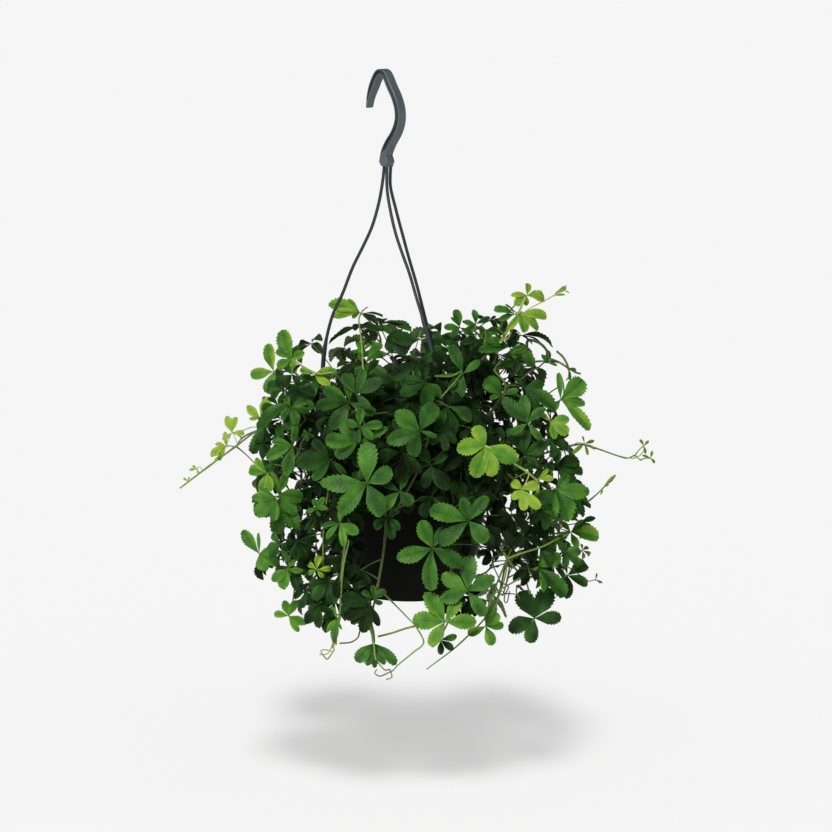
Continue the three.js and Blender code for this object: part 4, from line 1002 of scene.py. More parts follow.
# %% Tips of the leaflets seen from the front
SEEN_TIPS = {
    (-45, 20): [[-75, 22, 0.5], [-66, 7, 0.5], [-62, 36, 0.5], [-19, 33, 0.26], [-30, 21, 0.3]],
    (-38, -17): [[-37, 20, 0.52], [-16, -4, 0.62], [-26, -47, 0.56], [-62, -44, 0.46], [-80, -16, 0.4]],
    (-62, -52): [[-58, -73, 0.34], [-45, -61, 0.55], [-74, -66, 0.3], [-78, -55, 0.3], [-58, -36, 0.4]],
    (-47, 62): [[-24, 75, 0.5], [-40, 84, 0.4], [-60, 80, 0.45], [-34, 48, 0.4]],
    (-54, 55): [[-83, 51, 0.42], [-77, 67, 0.5], [-70, 31, 0.52], [-52, 81, 0.35], [-30, 45, 0.4]],
    (-70, 4): [[-101, 1, 0.62], [-86, 22, 0.4], [-86, -14, 0.42], [-56, -10, 0.3]],
    (9, 29.5): [[22, 54, 0.66], [-13, 47, 0.62], [-21, 20, 0.5], [3, 6, 0.58], [24, 24, 0.3]],
    (19, -1): [[13, -21, 0.52], [36, -22, 0.55], [-11, 0, 0.34], [8, 17, 0.5], [33, 12, 0.45]],
    (-9, -24): [[2, -36, 0.75], [-24, -41, 0.5], [-28, -14, 0.35], [-4, -6, 0.45]],
    (67, 16): [[57, 34, 0.66], [41, 13, 0.64], [57, -12, 0.56], [73, -11, 0.56], [96, 4, 0.56]],
    (99, -22): [[90, -15, 0.8], [90, -31, 0.6], [101, -41, 0.48], [115, -39, 0.44], [113, -18, 0.7]],
    (113, -13): [[127, -12, 0.42], [108, -22, 0.3], [122, -4, 0.3], [112, -26, 0.26]],
    (52, -50): [[17, -40, 0.5], [46, -29, 0.54], [69, -28, 0.44], [68, -69, 0.66], [25, -70, 0.46]],
    (20, -74): [[10, -49, 0.56], [-12, -83, 0.48], [19, -112, 0.4], [47, -90, 0.5], [32, -54, 0.42]],
    (51, -112): [[53, -80, 0.52], [28, -97, 0.56], [26, -120, 0.52], [66, -134, 0.5], [75, -99, 0.54]],
    (31, -139): [[2, -137, 0.62], [13, -113, 0.52], [44, -119, 0.5], [59, -139, 0.54], [17, -160, 0.52]],
    (-34, -125): [
        [-61, -118, 0.55], [-58, -135, 0.5], [-42, -149, 0.55], [-27, -143, 0.4], [-52, -141, 0.4],
    ],
    (-38, 96): [[-24, 106, 0.5], [-20, 97, 0.4], [-46, 108, 0.4], [-56, 96, 0.5]],
    (-44, 122): [[-72, 106, 0.4], [-60, 116, 0.3], [-22, 118, 0.3], [-34, 110, 0.3]],
    (-42, 133): [[-24, 130, 0.42], [-28, 122, 0.4], [-37, 139, 0.2]],
    (-44, 134): [[-72, 142, 0.42], [-68, 130, 0.42], [-56, 145, 0.5], [-51, 129, 0.6]],
    (-20, 113): [[5, 108, 0.5], [-2, 98, 0.5], [-14, 98, 0.5], [-6, 119, 0.3]],
    (-27, 124): [[1, 117, 0.42], [-6, 124, 0.34], [-14, 113, 0.4]],
    (8, 91): [[-18, 74, 0.44], [34, 96, 0.42], [0, 100, 0.3], [16, 86, 0.34], [6, 74, 0.4]],
    (10, 118): [[22, 121, 0.5], [5, 121, 0.7], [16, 110, 0.5]],
    (47, 80): [[40, 55, 0.52], [35, 106, 0.42], [33, 67, 0.34], [24, 78, 0.16], [62, 92, 0.4]],
    (88, 104): [[60, 100, 0.4], [66, 108, 0.44], [90, 96, 0.5], [108, 96, 0.4]],
    (92, 133): [[74, 136, 0.5], [78, 127, 0.34], [84, 141, 0.4]],
    (97, 133): [[121, 130, 0.42], [113, 118, 0.46], [101, 116, 0.72], [85, 118, 0.3]],
    (103, 149): [
        [104, 160, 0.56], [89, 149, 0.36], [92, 141, 0.66], [119, 145, 0.66], [102, 140, 0.5],
        [114, 153, 0.3],
    ],
    (66, 118): [[79, 117, 0.6], [60, 113, 0.4], [62, 122, 0.5], [72, 109, 0.5]],
    (70, 127): [[87, 123, 0.42], [76, 131, 0.36], [78, 120, 0.5], [58, 131, 0.3]],
    (58, 124): [[56, 137, 0.55], [71, 130, 0.34], [46, 126, 0.44], [50, 116, 0.5]],
    (44, 121): [[40, 137, 0.56], [30, 121, 0.5], [36, 130, 0.3], [36, 112, 0.5], [54, 114, 0.5]],
    (-104, 93): [[-113, 119, 0.56], [-118, 101, 0.5], [-117, 85, 0.6], [-93, 99, 0.72], [-101, 80, 0.6]],
    (-120, 82): [[-125, 107, 0.44], [-141, 79, 0.54], [-108, 88, 0.4], [-125, 62, 0.6], [-112, 70, 0.5]],
    (-80, 72): [[-111, 58, 0.46], [-98, 78, 0.4], [-94, 50, 0.46], [-64, 80, 0.34]],
    (-84, 79): [[-64, 81, 0.4], [-97, 84, 0.4], [-70, 70, 0.4]],
    (-108, 72): [[-126, 66, 0.6], [-121, 58, 0.5], [-98, 62, 0.5], [-118, 84, 0.4]],
    (-104, 56): [[-135, 30, 0.36], [-120, 40, 0.34], [-106, 30, 0.46], [-84, 50, 0.46]],
    (-132, 41): [[-144, 52, 0.5], [-124, 60, 0.52], [-142, 40, 0.4]],
    (-128, 36): [[-139, 9, 0.46], [-124, 12, 0.4], [-112, 24, 0.4]],
    (-103, 16): [[-127, 5, 0.42], [-111, -17, 0.42], [-100, 34, 0.4], [-122, 20, 0.36]],
    (-126, -8): [[-142, -4, 0.66], [-132, -26, 0.4], [-122, -24, 0.5], [-136, 6, 0.4]],
    (-116, -26): [[-94, -30, 0.62], [-108, -8, 0.4], [-124, -6, 0.4], [-100, -44, 0.5]],
    (-118, -30): [[-137, -45, 0.6], [-140, -29, 0.44], [-134, -20, 0.3], [-120, -50, 0.5]],
    (-112, -33): [[-119, -62, 0.52], [-99, -57, 0.54], [-130, -46, 0.4], [-96, -40, 0.4]],
    (-133, -79): [
        [-148, -58, 0.42], [-134, -60, 0.2], [-126, -94, 0.72], [-115, -90, 0.5], [-120, -75, 0.5],
    ],
    (-108, -92): [[-122, -103, 0.62], [-113, -110, 0.62], [-100, -84, 0.4], [-94, -94, 0.4]],
    (-107, -134): [
        [-111, -120, 0.55], [-120, -132, 0.55], [-91, -141, 0.46], [-98, -148, 0.4], [-99, -120, 0.5],
    ],
    (67, -143): [[79, -132, 0.7], [83, -142, 0.5], [73, -160, 0.6], [51, -150, 0.5], [70, -125, 0.44]],
    (113, -91): [[137, -117, 0.5], [118, -113, 0.34], [104, -84, 0.36], [133, -80, 0.56], [122, -66, 0.36]],
    (110, -136): [
        [97, -112, 0.66], [124, -109, 0.62], [134, -135, 0.55], [87, -147, 0.62], [106, -158, 0.62],
    ],
    (104, 36): [[82, 59, 0.44], [100, 62, 0.44], [120, 50, 0.4], [88, 26, 0.4], [116, 22, 0.4]],
    (101, 8): [[86, 32, 0.4], [103, 35, 0.42], [120, 20, 0.58], [115, -3, 0.52], [92, -6, 0.36]],
    (122, 20): [[140, 12, 0.5], [140, 28, 0.4], [130, 0, 0.5]],
    (128, -22): [[159, -24, 0.5], [140, -51, 0.6], [120, -53, 0.6], [108, -34, 0.5], [140, -8, 0.5]],
    (143, -30): [[153, -47, 0.5], [160, -38, 0.34], [143, -50, 0.4], [158, -24, 0.5]],
    (142, -60): [[167, -65, 0.6], [155, -50, 0.45], [148, -74, 0.5], [128, -68, 0.4], [132, -50, 0.4]],
    (139, -98): [[157, -107, 0.5], [138, -119, 0.5], [156, -88, 0.6], [128, -112, 0.4], [134, -86, 0.3]],
    (82, 62): [[66, 75, 0.8], [70, 58, 0.4], [90, 44, 0.4], [96, 66, 0.4]],
    (101, 68): [[118, 72, 0.56], [128, 48, 0.44], [92, 76, 0.4], [112, 44, 0.4]],
    (85, 98): [[111, 88, 0.54], [104, 103, 0.4], [84, 84, 0.5], [98, 78, 0.46]],
    (98, 114): [[126, 103, 0.4], [121, 98, 0.16], [84, 108, 0.6], [108, 106, 0.6], [90, 118, 0.5]],
    (124, 38): [[140, 27, 0.6], [141, 40, 0.6], [128, 22, 0.5], [114, 46, 0.4]],
    (133, 57): [[153, 75, 0.66], [155, 53, 0.4], [131, 81, 0.28], [159, 30, 0.34], [124, 46, 0.5]],
    (206.5, 16.4): [[203, 22, 0.5], [211, 21, 0.4], [208, 9, 0.4]],
    (212.3, 5.5): [[216, 1, 0.5], [205, 8, 0.34], [214, 12, 0.4]],
    (-157, 28): [[-162, 43, 0.5], [-153, 42, 0.44], [-146, 27, 0.5], [-166, 22, 0.4]],
    (-162, 16): [[-176, 7, 0.44], [-168, 3, 0.4], [-163, 29, 0.36], [-172, 18, 0.4]],
    (-32, -158): [
        [-48, -174, 0.6], [-38, -178, 0.5], [-12, -177, 0.36], [-22, -177, 0.4], [-31, -180, 0.36],
    ],
    (135, -78): [[151, -76, 0.6], [150, -89, 0.5], [138, -92, 0.5], [122, -84, 0.4], [137, -68, 0.4]],
    (-64, -136): [[-67, -158, 0.36], [-73, -148, 0.36], [-60, -146, 0.24], [-70, -125, 0.4]],
    (128, 0): [[150, 3, 0.5], [153, -8, 0.5], [147, -19, 0.5], [132, 12, 0.4], [120, -8, 0.5]],
    (141, -26): [[157, -33, 0.5], [150, -44, 0.5], [136, -40, 0.5], [153, -20, 0.4], [134, -18, 0.4]],
    (150, -52): [[164, -47, 0.34], [162, -60, 0.5], [150, -66, 0.4], [142, -48, 0.4]],
}
SEEN_LIMIT = 1.4
STEEPEST = 0.5
FLATTEST = 0.3


def depth_share(p):
    """How large a length near the point looks against the upright plane: the eye's distances divided."""
    return ((EYE - p) @ AHEAD) / ((EYE - RIM_CENTRE) @ AHEAD)


def seen_chords(leaf, place, tips):
    """Lines from the hub to the seen tips. Each keeps to the leaf's plane, up to half its length."""
    to_eye = unit(EYE - leaf["hub"])
    offsets = (np.array(tips)[:, :2] - place) * depth_share(leaf["hub"])
    flat = offsets[:, :1] * ACROSS + offsets[:, 1:] * PLANE_UP
    reach = np.linalg.norm(flat, axis=1)
    depth = -(flat @ leaf["normal"]) / max(leaf["normal"] @ to_eye, FLATTEST)
    chords = flat + np.clip(depth, -STEEPEST * reach, STEEPEST * reach)[:, None] * to_eye
    longest = np.maximum(np.linalg.norm(chords, axis=1) / (SEEN_LIMIT * leaf["reach"]), 1)
    return chords / longest[:, None], np.array(tips)[:, 2]


print("leaves with seen leaflets:", len(SEEN_TIPS))

# %% [markdown]
# ## The blade of a leaflet
# A leaflet of this vine is a wedge with nearly straight sides, widest past its middle, with coarse
# teeth on its outer half. Some end more bluntly than others, so two outlines are blended. The two
# halves fold up from the midrib, the flesh rises between the side veins, and the blade arches from
# its foot to its tip. It is built as one closed thin lens: thirteen rows across its top, each with five
# points, and one point under each midrib. Both ends close in a point. Each row has its place along
# the leaflet, its half widths for both outlines, how far its edge leads, and how its flesh rises.

# %% One leaflet as rows
BLADE_THICK = 0.55
RULE_WIDTH = 0.5
ROW_ALONG = np.array([0.07, 0.22, 0.38, 0.5, 0.535, 0.6, 0.635, 0.7, 0.735, 0.8, 0.835, 0.89, 0.95])
ROW_BLUNT = np.array([0.1, 0.32, 0.58, 0.82, 0.69, 0.97, 0.82, 1.07, 0.9, 1.08, 0.88, 0.92, 0.54])
ROW_POINTED = np.array([0.13, 0.45, 0.8, 1.02, 0.88, 1.03, 0.86, 0.93, 0.74, 0.74, 0.54, 0.46, 0.22])
ROW_LEAD = np.array([0, 0, 0, 0.03, 0, 0.034, 0, 0.036, 0, 0.036, 0, 0.034, 0.01])
ROW_FLESH = np.array([0, 0.5, -0.2, 0.7, -0.2, 0.7, -0.2, 0.7, -0.2, 0.7, -0.2, 0.5, -0.2])
FLESH_AT = 0.52
COLUMNS = np.array([-1, -FLESH_AT, 0, FLESH_AT, 1])


def leaflet_faces(rows):
    """Faces of one leaflet. Point 0 is its foot, point 1 its tip, then six points for each row:
    left edge, left flesh, midrib, right flesh, right edge and under the midrib."""
    row = 2 + 6 * np.arange(rows - 1)[:, None]
    top = [row + [0, 1, 2, 3], row + [6, 7, 8, 9], row + [7, 8, 9, 10], row + [1, 2, 3, 4]]
    low = [row + [0, 5], row + [5, 4], row + [11, 10], row + [6, 11]]
    top, low = np.stack(top, -1).reshape(-1, 4), np.stack(low, -1).reshape(-1, 4)
    last = 2 + 6 * (rows - 1)
    foot = [[0, 2 + i, 3 + i] for i in range(4)] + [[0, 7, 2], [0, 6, 7]]
    tip = [[1, last + i + 1, last + i] for i in range(4)]
    tip += [[1, last, last + 5], [1, last + 5, last + 4]]
    ends = np.tile([0, 0, 0, 0, 1, 1], 2)
    under = np.concatenate([np.zeros(len(top)), np.ones(len(low)), ends])
    return np.concatenate([top, low]), np.array(foot + tip), under


LEAFLET_QUADS, LEAFLET_TRIS, LEAFLET_UNDER = leaflet_faces(len(ROW_ALONG))
print("faces of a leaflet:", len(LEAFLET_QUADS) + len(LEAFLET_TRIS))

# %% [markdown]
# ## Leaflets of one leaf
# A seen leaf gets its chords, the lines from hub to tip, from the list above. Another gets them from
# its axes, turned, lengthened and sunk a little by seeded draws, and high up it faces the sky more.


# %% Leaflets of one leaf
def rule_chords(leaf, rng):
    """Lines from the hub to the tips by rule: turned a little, longer or shorter, and hanging."""
    angle = np.radians([a for a, _ in LEAFLETS]) + np.radians(rng.normal(0, 7, len(LEAFLETS)))
    length = leaf["reach"] * np.array([r for _, r in LEAFLETS]) * rng.uniform(0.82, 1.06, len(angle))
    way = np.cos(angle)[:, None] * leaf["aim"] + np.sin(angle)[:, None] * leaf["side"]
    sag = BLADE_LIFT - leaf["droop"] * rng.uniform(0.7, 1.5, len(angle))
    way = way + sag[:, None] * leaf["normal"] - rng.uniform(0, 0.3, len(angle))[:, None] * UP
    return unit(way) * length[:, None], RULE_WIDTH * rng.uniform(0.82, 1.15, len(angle))


def turned_up(leaf, share):
    """The leaf with its face turned towards the sky by that share."""
    normal = unit(leaf["normal"] * (1 - share) + UP * share)
    aim = unit(leaf["aim"] - normal * (leaf["aim"] @ normal))
    return {**leaf, "normal": normal, "aim": aim, "side": np.cross(normal, aim)}


def leaflets_of(leaf, place, tone, rng):
    """Hub, chord, normal, width, arch, fold, tone and unevenness of each leaflet of one leaf."""
    if place in SEEN_TIPS:
        chords, width = seen_chords(leaf, np.array(place[:2]), SEEN_TIPS[place])
        calm, hanging, folded = 0.4, (0.5, 1.5), (0.6, 1.6)
    else:
        high = np.clip((leaf["hub"][2] - RIM_Z - 40) / 60, 0, 1)
        leaf = turned_up(leaf, 0.45 * high * rng.uniform(0.5, 1))
        chords, width = rule_chords(leaf, rng)
        calm, hanging, folded = 1, (1.2, 3.2), (0.7, 2.4)
    count = len(chords)
    arch = leaf["droop"] * rng.uniform(*hanging, count)
    fold = leaf["fold"] * rng.uniform(*folded, count)
    tones = tone + rng.normal(0, 0.045, count)
    hub = np.repeat(leaf["hub"][None], count, 0)
    normal = np.repeat(leaf["normal"][None], count, 0)
    return hub, chords, normal, width, arch, fold, tones, np.full(count, calm)

# %% [markdown]
# ## All leaflets at once
# The leaflets of one vine are one array with a row for each leaflet. That is far quicker than one
# after another, and each leaflet still gets its own seeded unevenness.

# %% All leaflets of some leaves at once
RIPPLE = 0.09
RIPPLE_WAVES = 1.6
FLESH_RISE = 0.014
TIP_BEND = 0.06
BLADE_ROLL = 0.18
SIDE_UNEVEN = 0.12
# Painted shade on the fold: one half of each leaflet lighter and the other darker, by a seeded amount.
FOLD_SHADE_LEAN = 0.05


def blades(grown, rng):
    """Leaflets of many leaves. A point lies at hub + length * (along, aside, lift) on the leaflet's
    own axes: its chord, its side and its face. Lift is arch * along * (1 - along) + fold * aside,
    plus a ripple that grows towards the edge, and the raised flesh."""
    rows = [leaflets_of(leaf, place, tone, rng) for _, leaf, tone, place in grown]
    hub, chord, normal, width, arch, fold, tone, calm = (np.concatenate(p) for p in zip(*rows))
    count = len(chord)
    length = np.linalg.norm(chord, axis=1)
    way = unit(chord)
    normal = normal + 0.05 * UP
    normal = unit(normal - way * (normal * way).sum(1, keepdims=True))
    side = np.cross(normal, way)
    blunt = rng.uniform(0.0, 0.6, count)[:, None, None]
    uneven = (calm * rng.normal(0, SIDE_UNEVEN, count))[:, None, None]
    bend = (calm * rng.normal(0, TIP_BEND, count))[:, None, None]
    roll = (calm * rng.normal(0, BLADE_ROLL, count))[:, None, None]
    phase = rng.uniform(0, 1, count)[:, None, None]
    half = width[:, None, None] / 2
    spread = ROW_POINTED[:, None] + blunt * (ROW_BLUNT - ROW_POINTED)[:, None]
    edge = np.abs(COLUMNS) == 1
    middle = np.abs(COLUMNS) == FLESH_AT
    along = ROW_ALONG[:, None] + ROW_LEAD[:, None] * COLUMNS**2 + np.zeros_like(blunt)
    out = COLUMNS * spread * half * (1 + uneven * COLUMNS)
    aside = out + 4 * bend * along * (1 - along)
    waves = RIPPLE_WAVES * along + phase + 0.25 * COLUMNS
    ripple = RIPPLE * np.sin(2 * np.pi * waves) * COLUMNS**2
    lift = arch[:, None, None] * along * (1 - along) + fold[:, None, None] * np.abs(out)
    lift = lift + roll * out + ripple * half + FLESH_RISE * ROW_FLESH[:, None] * middle
    thick = BLADE_THICK / 2 / length[:, None, None]
    top = np.stack([*np.broadcast_arrays(along, aside, lift + thick * ~edge)], -1)
    below = np.stack([*np.broadcast_arrays(along, aside, lift - thick * ~edge)], -1)[:, :, 2:3]
    body = np.concatenate([top, below], 2).reshape(count, -1, 3)
    foot = np.zeros((count, 1, 3))
    tip = np.tile([1.0, 0, 0], (count, 1, 1))
    local = np.concatenate([foot, tip, body], 1) * length[:, None, None]
    points = hub[:, None] + local[..., :1] * way[:, None] + local[..., 1:2] * side[:, None]
    points = points + local[..., 2:] * normal[:, None]
    places = np.broadcast_arrays(ROW_ALONG[:, None], np.abs(np.append(COLUMNS, 0)))
    uv = np.concatenate([[[0, 0], [1, 0]], np.stack(places, -1).reshape(-1, 2)])
    # Painted shade: the tone leans lighter on one half of the leaflet and darker on the other, as a fold
    # shows in side light.
    fold_shade_sides = np.concatenate([[0, 0], np.tile(np.append(COLUMNS, 0), len(ROW_ALONG))])
    tones = tone[:, None] + rng.normal(0, FOLD_SHADE_LEAN, count)[:, None] * fold_shade_sides
    return batch(points, LEAFLET_QUADS, LEAFLET_TRIS, uv, tones, LEAFLET_UNDER)


print("points of a leaflet:", 2 + 6 * len(ROW_ALONG))

# %% [markdown]
# ## Stems, stalks and tendrils
# A stem is a round rod that bends gently from leaf to leaf, a little thicker at each leaf's joint.
# It is a ring of points carried along a smooth curve through the stem's bends. A stalk is a shorter
# rod along an arch. Both ends of every rod are closed.


# %% Curves and rods
def through_bends(bends, steps):
    """A smooth curve through the bends, steps points to each stretch: a cubic whose slope at each
    bend is weighed by the root of the distances to its neighbours (centripetal Catmull-Rom)."""
    bends = np.asarray(bends, float)
    ends = [2 * bends[0] - bends[1]], [2 * bends[-1] - bends[-2]]
    p = np.concatenate([ends[0], bends, ends[1]])
    gap = np.sqrt(np.linalg.norm(np.diff(p, axis=0), axis=1))[:, None]
    a, b, c, d = p[:-3], p[1:-2], p[2:-1], p[3:]
    before, here, after = gap[:-2], gap[1:-1], gap[2:]
    slope_b = ((b - a) / before - (c - a) / (before + here) + (c - b) / here) * here
    slope_c = ((c - b) / here - (d - b) / (here + after) + (d - c) / after) * here
    t = (np.arange(steps) / steps)[None, :, None]
    b, c, slope_b, slope_c = (v[:, None] for v in (b, c, slope_b, slope_c))
    cube = (2 * t**3 - 3 * t**2 + 1) * b + (t**3 - 2 * t**2 + t) * slope_b
    cube = cube + (3 * t**2 - 2 * t**3) * c + (t**3 - t**2) * slope_c
    return np.concatenate([cube.reshape(-1, 3), bends[-1:]])


def tube_faces(rows, columns):
    """Faces of a tube: quads between its rings, and a fan of triangles to a point at each end."""
    i, j = np.meshgrid(np.arange(rows - 1), np.arange(columns), indexing="ij")
    k = (j + 1) % columns
    here, there = i * columns, (i + 1) * columns
    quads = np.stack([here + j, here + k, there + k, there + j], -1).reshape(-1, 4)
    j, k, last = j[0], k[0], (rows - 1) * columns
    first_fan = np.stack([np.full(columns, rows * columns), k, j], -1)
    last_fan = np.stack([np.full(columns, rows * columns + 1), last + j, last + k], -1)
    return quads, np.concatenate([first_fan, last_fan])


def rods(lines, radii, sides, tone, finish=1):
    """Round rods. lines is (rods, rings, 3) and radii (rods, rings). Each ring stands square to the
    line, on two axes made with the main direction that the line runs along least."""
    slope = unit(np.gradient(lines, axis=1))
    choices = unit(np.array([[1, 0, 0], [0, 1, 0], [0, 0, 1], [1, 1, 0], [1, -1, 0.3], [0.2, 1, 1.0]]))
    worst = np.abs(np.einsum("rnk,ck->rnc", slope, choices)).max(1)
    aside = choices[worst.argmin(1)][:, None]
    one = unit(np.cross(slope, aside))
    two = np.cross(slope, one)
    turn = full_turn(sides)
    ring = one[:, :, None] * np.cos(turn)[:, None] + two[:, :, None] * np.sin(turn)[:, None]
    points = lines[:, :, None] + radii[..., None, None] * ring
    count, rings = lines.shape[:2]
    points = np.concatenate([points.reshape(count, -1, 3), lines[:, :1], lines[:, -1:]], 1)
    along = np.append(np.repeat(np.arange(rings), sides), [0, rings])
    about = np.append(np.tile(np.abs(np.cos(turn)), rings), [0, 0])
    if np.ndim(tone) == 2:
        tone = np.concatenate([np.repeat(tone, sides, 1), tone[:, :1], tone[:, -1:]], 1)
    quads, tris = tube_faces(rings, sides)
    return batch(points, quads, tris, np.stack([along, about], -1), tone, finish=finish)


bends = [[0, 0, 0], [5, 0, 0], [9, 3, 0]]
print("a curve through three bends has", len(through_bends(bends, 4)), "points")

# %% [markdown]
# ## Leafy vines
# Each vine becomes one piece: its stems, the stalk of every leaf and the leaflets. A stem is brown
# and thick at its foot, and a stalk is a thin green arch that widens at both ends.

# %% Stems and stalks of one vine
STEM_STEPS = 5
STEM_SIDES = 7
MAIN_RADII = (1.5, 0.75)
SHOOT_RADII = (0.95, 0.5)
JOINT_SHARE = 1.25
FOOT_TONE = 0.1
STALK_RADII = [0.85, 0.6, 0.5, 0.48, 0.52, 0.75]
STALK_SIDES = 6
STALK_ARCH = 0.1
HUB_SUNK = 0.35


def stem_paths(vine):
    """Runs of stem points: along a line, with a new run wherever a leaf grows from further back."""
    runs = []
    lines = [(vine["bends"], vine["main"]), *[([at], nodes) for at, nodes in vine["shoots"]]]
    for level, (start, nodes) in enumerate(lines):
        path = list(start)
        for node in filter(None, nodes):
            if node["parent"] is not path[-1]:
                runs.append((level, path))
                path = [node["parent"]]
            path.append(node["at"])
        runs.append((level, path))
    return [(level, np.array(path)) for level, path in runs if len(path) > 1]


def stem_parts(vine, tone):
    """Round stems along the runs: brown and thick at the foot, paler and thinner towards the tip,
    and a little thicker at each joint."""
    parts = []
    for level, path in stem_paths(vine):
        line = through_bends(path, STEM_STEPS)
        foot, tip = MAIN_RADII if level == 0 else SHOOT_RADII
        radii = np.linspace(foot, tip, len(line))
        radii[STEM_STEPS::STEM_STEPS] *= JOINT_SHARE
        radii[-1] = tip
        foot_tone = FOOT_TONE if level == 0 else tone
        tones = np.linspace(foot_tone, min(tone + 0.25, 0.95), len(line))
        parts.append(rods(line[None], radii[None], STEM_SIDES, tones[None]))
    return parts


def stalk_part(grown):
    """Stalks of many leaves: an arch from the stem to the hub, thickest at both ends."""
    starts = np.array([at for at, _, _, _ in grown])
    hubs = np.array([leaf["hub"] - HUB_SUNK * leaf["normal"] for _, leaf, _, _ in grown])
    middle = (starts + hubs) / 2
    middle[:, 2] += STALK_ARCH * np.linalg.norm(hubs - starts, axis=1)
    t = np.linspace(0, 1, len(STALK_RADII))[None, :, None]
    lines = (1 - t) ** 2 * starts[:, None] + 2 * t * (1 - t) * middle[:, None] + t**2 * hubs[:, None]
    radii = np.broadcast_to(STALK_RADII, lines.shape[:2])
    # A stalk's tone follows its leaf's, so the painted shade of dark leaves reaches their stalks.
    tones = 0.25 + 0.6 * np.array([tone for _, _, tone, _ in grown])
    return rods(lines, radii, STALK_SIDES, np.broadcast_to(tones[:, None], radii.shape))


print("stem rings to each stretch:", STEM_STEPS)

# %% [markdown]
# ## Small leaves in the shade
# A real plant also has many small leaves in the shade inside, on the same stems. They grow here by a
# rule: every few millimetres along a stem a leaf is tried in seeded directions, and it stays where it
# is clear of all others, outside the pot and under the bush's surface. In the front view it may
# cover neither the open air nor the places where the pot itself shows, [across, up, radius].

# %% Small leaves in the shade
SHADE_START = 4
SHADE_STEP = 6
SHADE_TRIES = 14
SHADE_GAP = 2.6
SHADE_STALK_GAP = 2.2
SHADE_DEPTH = 9
POT_SHOWS = [[-8, -92, 26], [-12, -62, 18], [92, -60, 9]]


def shade_leaf(at, rng):
    """A leaf tried from one point of a stem. High on the plant it is larger."""
    out = outward_of(at)
    way = unit(out * 0.6 + UP * 0.1 + rng.normal(0, 0.7, 3))
    hub = at + way * rng.uniform(12, 36)
    turn = rng.uniform(-170, -10)
    size = rng.uniform(16, 26) + 8 * np.clip((hub[2] - RIM_Z - 50) / 50, 0, 1)
    along = np.array([-out[1], out[0], 0])
    return make_leaf(hub, along, UP, turn, size, 0, int(rng.integers(1, 99)))


def has_room(owner, leaf, blade, stalk):
    """True if a leaf in the shade lies deep enough, is clear of all, and covers no open place."""
    depth = bush_radius(leaf["hub"][2]) - radius_of(leaf["hub"])
    if depth < SHADE_DEPTH or not clear_of_pot(blade, 1) or not clear_of_pot(stalk, 0):
        return False
    if open_count(blade) or open_count(blade, POT_SHOWS):
        return False
    room = is_clear(blade, owner, SHADE_GAP, SHADE_GAP)
    return room and is_clear(stalk, owner, SHADE_STALK_GAP, 0)


def shade_leaves(owner, vine, rng):
    """Small leaves along the stems, where there is room for them under the bush's surface."""
    found = []
    for _, path in stem_paths(vine):
        line = through_bends(path, 4)
        lengths = np.append(0, np.cumsum(np.linalg.norm(np.diff(line, axis=0), axis=1)))
        for place in np.arange(SHADE_START, lengths[-1], SHADE_STEP):
            at = np.array([np.interp(place, lengths, line[:, i]) for i in range(3)])
            if at[2] < RIM_Z + 4 and radius_of(at) < RIM_RADIUS + 4:
                continue
            for _ in range(SHADE_TRIES):
                leaf = shade_leaf(at, rng)
                blade, stalk = leaf_samples(leaf), line_samples(at, leaf["hub"])[1:]
                if has_room(owner, leaf, blade, stalk):
                    take(blade, owner, False)
                    take(stalk, owner, True)
                    # The tone, 0 to 0.2, is painted shade: the darkest greens of the ramp for leaves inside
                    # the bush.
                    found.append((at, leaf, rng.uniform(0.0, 0.2), None))
                    break
    return found


print("a leaf is tried in the shade every", SHADE_STEP, "mm")

# %% [markdown]
# ## Runners, tendrils and buds
# Thin young stems leave the bush on all sides: runners with a bud at the tip, tendrils that curl,
# bare twigs and long leaf stalks. They matter for the plant's outline. Each is its radius at both
# ends, its tone, and its bends, [across, up, depth inside the bush], and starts at the nearest
# point of its own vine's stem.

